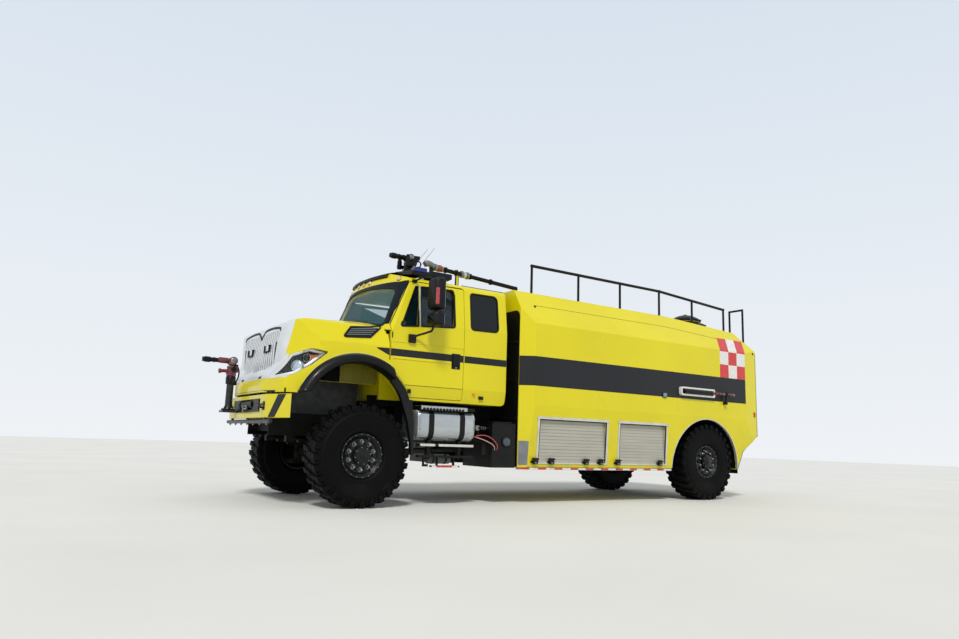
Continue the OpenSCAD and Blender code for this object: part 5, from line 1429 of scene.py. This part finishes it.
lamp = Shape()
edge = dense(LAMP, 0.03)
cuts = [(0.0012, -0.003), (0.0012, 0.030), (0.031, 0.030), (0.031, 0.006), (0.024, -0.001), (0.008, -0.004)]
lamp.loft([[(p.x, skin_y(p.x) - deep, p.y) for p in grown(edge, -cut)] for cut, deep in cuts], 0, False, closed=True)
lamp.loft([[(p.x, skin_y(p.x) - deep, p.y) for p in grown(edge, -cut)] for cut, deep in
           ((0.029, 0.028), (0.029, 0.085), (0.033, 0.085), (0.033, 0.028))], 1, False, closed=True)
lamp.sheet(lamp_columns(0.020, 24, 0.082), [[Vector((0, 1, 0))]*5]*25, 0.0, 0.004, 1)
lamp.sheet(lamp_columns(0.030, 24, 0.050), [[Vector((0, 1, 0))]*5]*25, 0.0, 0.003, 1)
for x, z, r, lean in ((0.778, 1.572, 0.070, 40), (0.668, 1.676, 0.050, 46)):
    axis = Vector((math.cos(math.radians(lean)), math.sin(math.radians(lean)), 0))
    centre = Vector((x, skin_y(x) - 0.016, z)) - axis*0.045
    lamp.lathe(centre, axis, [(r, -0.02), (r, 0.036), (r - 0.004, 0.040), (r - 0.008, 0.036), (r*0.80, 0.012),
               (r*0.55, -0.002), (r*0.25, -0.010), (r*0.2, -0.02)], 2, 40)
    lamp.lathe(centre, axis, [(0.001, -0.010), (0.015, -0.006), (0.017, 0.008), (0.010, 0.018), (0.001, 0.020)], 3, 20,
               closed=False)
    lamp.lathe(centre, axis, [(r - 0.006, 0.030), (r*0.7, 0.040), (r*0.3, 0.045), (0.001, 0.046)],
               2 if r > 0.06 else 1, 32, closed=False)
for k in range(5):
    x0 = 0.515 + 0.030*k
    lamp.box((x0, skin_y(x0) - 0.045, 1.662 - 0.004*k), (x0 + 0.0285, skin_y(x0 + 0.03) - 0.010, 1.722 - 0.002*k), 5, 0.006)
lamp.mirrored().piece("headlamp_units", "hood", "silver_paint", "lamp_black", "reflector", "chrome", "lamp_glass",
                      "amber_lens", stands_for=["headlamps"])
cover = Shape()
cover.sheet(lamp_columns(0.0300, 28, 0.004), [[Vector((0, 1, 0))]*5]*29, 0.0, 0.003)
cover.mirrored().piece("headlamp_covers", "hood", "lamp_cover")

# Rounded flares of the front arches, inner walls of the arches

# Flare skins in black rubber; their upward faces carry the painted sky sheen.
flare = Shape()
ARC_X, ARC_Z = 0.060, 0.994
section = [(0.6600, 1.041), (0.6600, 1.190), (0.6620, 1.212), (0.6680, 1.225), (0.6780, 1.2330), (0.6920, 1.2365),
           (0.7100, 1.2350), (0.7300, 1.2270), (0.7480, 1.2140), (0.7640, 1.1960), (0.7750, 1.1760), (0.7795, 1.1600),
           (0.7800, 1.1515), (0.7440, 1.1515), (0.7440, 1.041)]
rings = []
for k in range(73):
    a = math.radians(20 + 111*k/72)
    rings.append([(max(ARC_X + r*math.cos(a), -0.3755), y, max(ARC_Z + r*math.sin(a), 1.2905)) for r, y in section])
flare.loft(rings)
for k in range(9):
    a = math.radians(32 + 86*k/8)
    flare.nut((ARC_X + 0.690*math.cos(a), 1.2350, ARC_Z + 0.690*math.sin(a)), (0, 1, 0.1), 0.007, 0.005, 0)
flare.mirrored().piece("flare_skins", "hood", "flare_rubber", stands_for=["hood_flares"])
# Thin ring in paler yellow along the fender edge: a painted highlight.
rims = Shape()
rings = []
for k in range(49):
    a = math.radians(29 + 94*k/48)
    rings.append([(ARC_X + r*math.cos(a), y, ARC_Z + r*math.sin(a)) for r, y in
                  ((0.7785, 1.1505), (0.7855, 1.1505), (0.7855, 1.1590), (0.7785, 1.1590))])
rims.loft(rings, 0, False)
rims.mirrored().piece("flare_edges", "hood", "painted_highlight_yellow")
# Inner walls of the front arches in the darker yellow: painted shade inside the arch.
walls, front_shade_and_box = Shape(), Shape()
walls.box((-0.372, 0.7008, 1.4530), (0.120, 0.7040, 1.7300), 0, 0.001)
for x in (-0.28, -0.16, -0.04, 0.08):
    walls.box((x, 0.7030, 1.4600), (x - 0.018, 0.7080, 1.7200), 0, 0.002)
# Black sheet over the front part of the inner wall: painted shade of the arch's front; the box after it is a real part.
front_shade_and_box.box((0.123, 0.7008, 1.4530), (0.695, 0.7060, 1.6900), 0, 0.002)
front_shade_and_box.box((0.180, 0.706, 1.4560), (0.360, 0.790, 1.5900), 0, 0.012)
walls.mirrored().piece("arch_inner_walls", "hood", "painted_shade_yellow")
front_shade_and_box.mirrored().piece("arch_front_shade_and_box", "hood", "liner_black")
seal = Shape()
seal.box((0.868, -0.985, 1.258), (0.880, 0.985, 1.322), 0, 0.003)
seal.piece("nose_seal", "hood", "seal")

# Bumper stripes, pockets, winch rope and spray nozzles

BUMPER = ("bumper",)
stripes = Shape()
patch(stripes, BUMPER, [(0.818, 0.990), (0.927, 0.990), (1.089, 1.246), (0.961, 1.246)], "front", (10, 8), 0.002)
stripes.mirrored().piece("bumper_stripes", "chassis", "stripe_film")
pocket = Shape()
patch(pocket, BUMPER, [(0.660, 1.068), (0.752, 1.068), (0.752, 1.168), (0.660, 1.168)], "front", (2, 2), 0.0015)
patch(pocket, BUMPER, [(0.600, 1.090), (0.632, 1.090), (0.632, 1.150), (0.600, 1.150)], "front", (1, 1), 0.0015)
pocket.tube(smooth_path([(1.018, 0.680, 1.095), (1.048, 0.684, 1.100), (1.062, 0.706, 1.118), (1.048, 0.728, 1.136),
            (1.018, 0.732, 1.142)], 6), 0.011, 1, 12)
pocket.mirrored().piece("tow_pockets", "chassis", "lamp_black", "oily_steel")

winch = Shape()
WINCH_X, WINCH_Z = 0.975, 1.145
profile = [(0.046, -0.245)]
for k in range(40):
    y = -0.240 + k*0.012
    profile += [(0.050, y), (0.0535, y + 0.003), (0.0545, y + 0.006), (0.0535, y + 0.009)]
profile += [(0.050, 0.240), (0.046, 0.245)]
winch.lathe((WINCH_X, 0, WINCH_Z), (0, 1, 0), profile, 0, 32, closed=False)
for y in (-0.247, 0.239):
    winch.lathe((WINCH_X, y, WINCH_Z), (0, 1, 0), [(0.043, 0), (0.066, 0), (0.066, 0.008), (0.043, 0.008)], 1, 40)
winch.tube(smooth_path([(WINCH_X + 0.020, 0.06, WINCH_Z - 0.050), (1.000, 0.055, 1.101), (1.030, 0.050, 1.100)], 5), 0.006, 0, 10)
winch.box((1.022, -0.110, 1.083), (1.034, 0.110, 1.140), 1, 0.004)
for y in (-0.072, 0.072):
    winch.rod((1.040, y, 1.086), (1.040, y, 1.137), 0.010, 2, 16)
for z in (1.092, 1.130):
    winch.rod((1.040, -0.080, z), (1.040, 0.080, z), 0.008, 2, 16)
winch.tube(smooth_path([(1.030, 0.050, 1.100), (1.050, 0.047, 1.098), (1.066, 0.040, 1.084), (1.070, 0.024, 1.068),
           (1.058, 0.012, 1.060), (1.048, 0.022, 1.066)], 5), 0.0075, 2, 10)
for y in (-0.430, 0.430):
    for k in range(4):
        a = math.radians(45 + 90*k)
        winch.nut((WINCH_X + 0.045, y + 0.045*math.cos(a), WINCH_Z + 0.032*math.sin(a)), (1, 0, 0), 0.007, 0.008, 2)
winch.piece("winch_rope_and_guide", "chassis", "rope_steel", "black_paint", "zinc")
spray = Shape()
for k in range(7):
    y = -0.78 + 0.26*k
    spray.lathe((0.990, y, 0.925), (0.3, 0, -1), [(0.014, -0.006), (0.014, 0.012), (0.009, 0.014), (0.007, 0.026)], 0, 16,
                closed=False)
spray.piece("spray_nozzles", "chassis", "zinc")

# Interior

inside = Shape()
inside.box((-2.080, -0.85, 1.331), (-1.70, 0.85, 1.66), 0, 0.02)
outline = fillet([(-0.440, 2.055, 0.0), (-0.440, 1.865, 0.0), (-0.560, 1.835, 0.03), (-0.695, 1.960, 0.03),
                  (-0.640, 2.085, 0.04), (-0.500, 2.115, 0.02)], 5)
inside.prism(outline, "xz", -0.92, 0.92, 1)
inside.box((-0.560, 0.33, 2.085), (-0.665, 0.68, 2.150), 1, 0.020)
for y in (-0.70, -0.42, 0.16):
    inside.box((-0.662, y, 2.010), (-0.684, y + 0.14, 2.062), 1, 0.008)
inside.box((-0.640, -0.12, 1.86), (-0.705, 0.12, 2.03), 0, 0.015)
for y in (-0.5, 0.5):
    inside.box((-1.38, y - 0.18, 1.331), (-1.0, y + 0.18, 1.53), 1, 0.02)
wheel_turn = Matrix.Rotation(math.radians(-60), 4, "Y")
hub = Vector((-0.800, 0.5, 2.040))
rings = []
for k in range(40):
    a = 2*math.pi*k/40
    out = wheel_turn @ Vector((math.cos(a), math.sin(a), 0))
    up_way = wheel_turn @ Vector((0, 0, 1))
    rings.append([hub + out*0.215 + 0.015*(out*math.cos(b) + up_way*math.sin(b)) for b in
                  (2*math.pi*m/12 for m in range(12))])
inside.loft(rings, 1, closed=True)
for a in (0.5, 2.6, 4.71):
    inside.rod(hub, hub + wheel_turn @ Vector((0.21*math.cos(a), 0.21*math.sin(a), 0)), 0.014, 1)
inside.rod(hub + wheel_turn @ Vector((0, 0, -0.16)), hub + wheel_turn @ Vector((0, 0, 0.02)), 0.034, 1)
inside.piece("cab_fittings", "chassis", "trim_grey", "dash_black", stands_for=["cab_interior"])


def cushion(low, high, lean=0.0, power=0.30):
    """Crowned pad between two corners, leaning back by a share of its height."""
    low, high = Vector(low), Vector(high)
    mid, size = (low + high)/2, (high - low)/2

    def bent(value):
        return math.copysign(abs(value)**power, value)

    rings = []
    for i in range(1, 16):
        a = -math.pi/2 + math.pi*i/16
        ring = []
        for k in range(40):
            b = 2*math.pi*k/40
            p = Vector((bent(math.cos(a))*bent(math.cos(b)), bent(math.cos(a))*bent(math.sin(b)), bent(math.sin(a))))
            spot = mid + Vector(c*s for c, s in zip(p, size))
            spot.x -= lean*(spot.z - low.z)
            ring.append(spot)
        rings.append(ring)
    pad = Shape()
    pad.loft(rings)
    return pad


def blown(pad, voxel, cap):
    """The pad's faces after it has been blown up as cloth, each point moved by no more than cap."""
    scene = bpy.context.scene
    mesh = bpy.data.meshes.new("pad")
    mesh.from_pydata(pad.verts, [], pad.faces)
    work = bpy.data.objects.new("pad", mesh)
    scene.collection.objects.link(work)

    def settled():
        now = work.evaluated_get(bpy.context.evaluated_depsgraph_get())
        made = bpy.data.meshes.new_from_object(now)
        work.modifiers.clear()
        work.data = made
        return made

    remesh = work.modifiers.new("remesh", "REMESH")
    remesh.mode = "VOXEL"
    remesh.voxel_size = voxel
    before = [v.co.copy() for v in settled().vertices]
    cloth = work.modifiers.new("cloth", "CLOTH")
    cloth.settings.use_pressure = True
    cloth.settings.uniform_pressure_force = 4
    cloth.settings.effector_weights.gravity = 0
    for frame_now in range(1, 21):
        scene.frame_set(frame_now)
    made = settled()
    scene.frame_set(1)
    for v, old in zip(made.vertices, before):
        step = v.co - old
        if step.length > cap:
            v.co = old + step*(cap/step.length)
    smooth = work.modifiers.new("smooth", "SUBSURF")
    smooth.levels = 1
    made = settled()
    out = Shape()
    out.add([v.co for v in made.vertices], [list(p.vertices) for p in made.polygons], 0, True)
    bpy.data.objects.remove(work)
    return out


def piping(pad, low, high, lean, facing):
    """Sewn cord round a pad's face, laid on its surface: facing is up or forwards."""
    tree = BVHTree.FromPolygons(pad.verts, pad.faces)
    low, high = Vector(low), Vector(high)
    if facing == "up":
        outline = fillet([(low.x, low.y, 0.08), (high.x, low.y, 0.08), (high.x, high.y, 0.08), (low.x, high.y, 0.08)], 6)
        rays = [(Vector((p.x, p.y, high.z + 1)), Vector((0, 0, -1))) for p in dense(grown(outline, -0.045), 0.02)]
    else:
        outline = fillet([(low.y, low.z, 0.06), (high.y, low.z, 0.06), (high.y, high.z, 0.06), (low.y, high.z, 0.06)], 6)
        rays = [(Vector((high.x + 1, p.x, p.y)), Vector((-1, 0, 0))) for p in dense(grown(outline, -0.035), 0.02)]
    points = [tree.ray_cast(*ray)[0] for ray in rays]
    points = [p for p in points if p]
    rings = []
    for i, p in enumerate(points):
        along = (points[(i + 1) % len(points)] - points[i - 1]).normalized()
        up_way = -rays[0][1]
        side_way = along.cross(up_way).normalized()
        rings.append([p + 0.0045*(side_way*math.cos(b) + up_way*math.sin(b)) for b in
                      (2*math.pi*m/8 for m in range(8))])
    cord = Shape()
    cord.loft(rings, 0, closed=True)
    return cord


PADS = []
for side, y in (("left", 0.5), ("right", -0.5)):
    PADS += [("seat_" + side, (-1.440, y - 0.230, 1.540), (-0.940, y + 0.230, 1.655), 0.0, "up"),
             ("backrest_" + side, (-1.460, y - 0.220, 1.650), (-1.365, y + 0.220, 2.150), 0.14, "forwards"),
             ("headrest_" + side, (-1.540, y - 0.115, 2.165), (-1.470, y + 0.115, 2.295), 0.1, "")]
PADS.append(("bench_pad", (-2.060, -0.82, 1.665), (-1.690, 0.82, 1.755), 0.0, "up"))
seams = Shape()
for name, low, high, lean, facing in PADS:
    pad = cushion(low, high, lean)
    pad = blown(pad, 0.014, 0.022)
    if facing:
        cord = piping(pad, low, high, lean, facing)
        seams.add(cord.verts, cord.faces, 0, True)
    pad.piece(name, "chassis", "seat_cloth")
seams.piece("seat_piping", "chassis", "trim_grey")

# Floor

floor_mesh = bpy.data.meshes.new("floor")
floor_mesh.from_pydata([(-60, -60, 0), (60, -60, 0), (60, 60, 0), (-60, 60, 0)], [], [(0, 1, 2, 3)])
floor_mesh.materials.append(MATERIALS["floor_paint"])
floor = bpy.data.objects.new("floor", floor_mesh)
bpy.context.scene.collection.objects.link(floor)
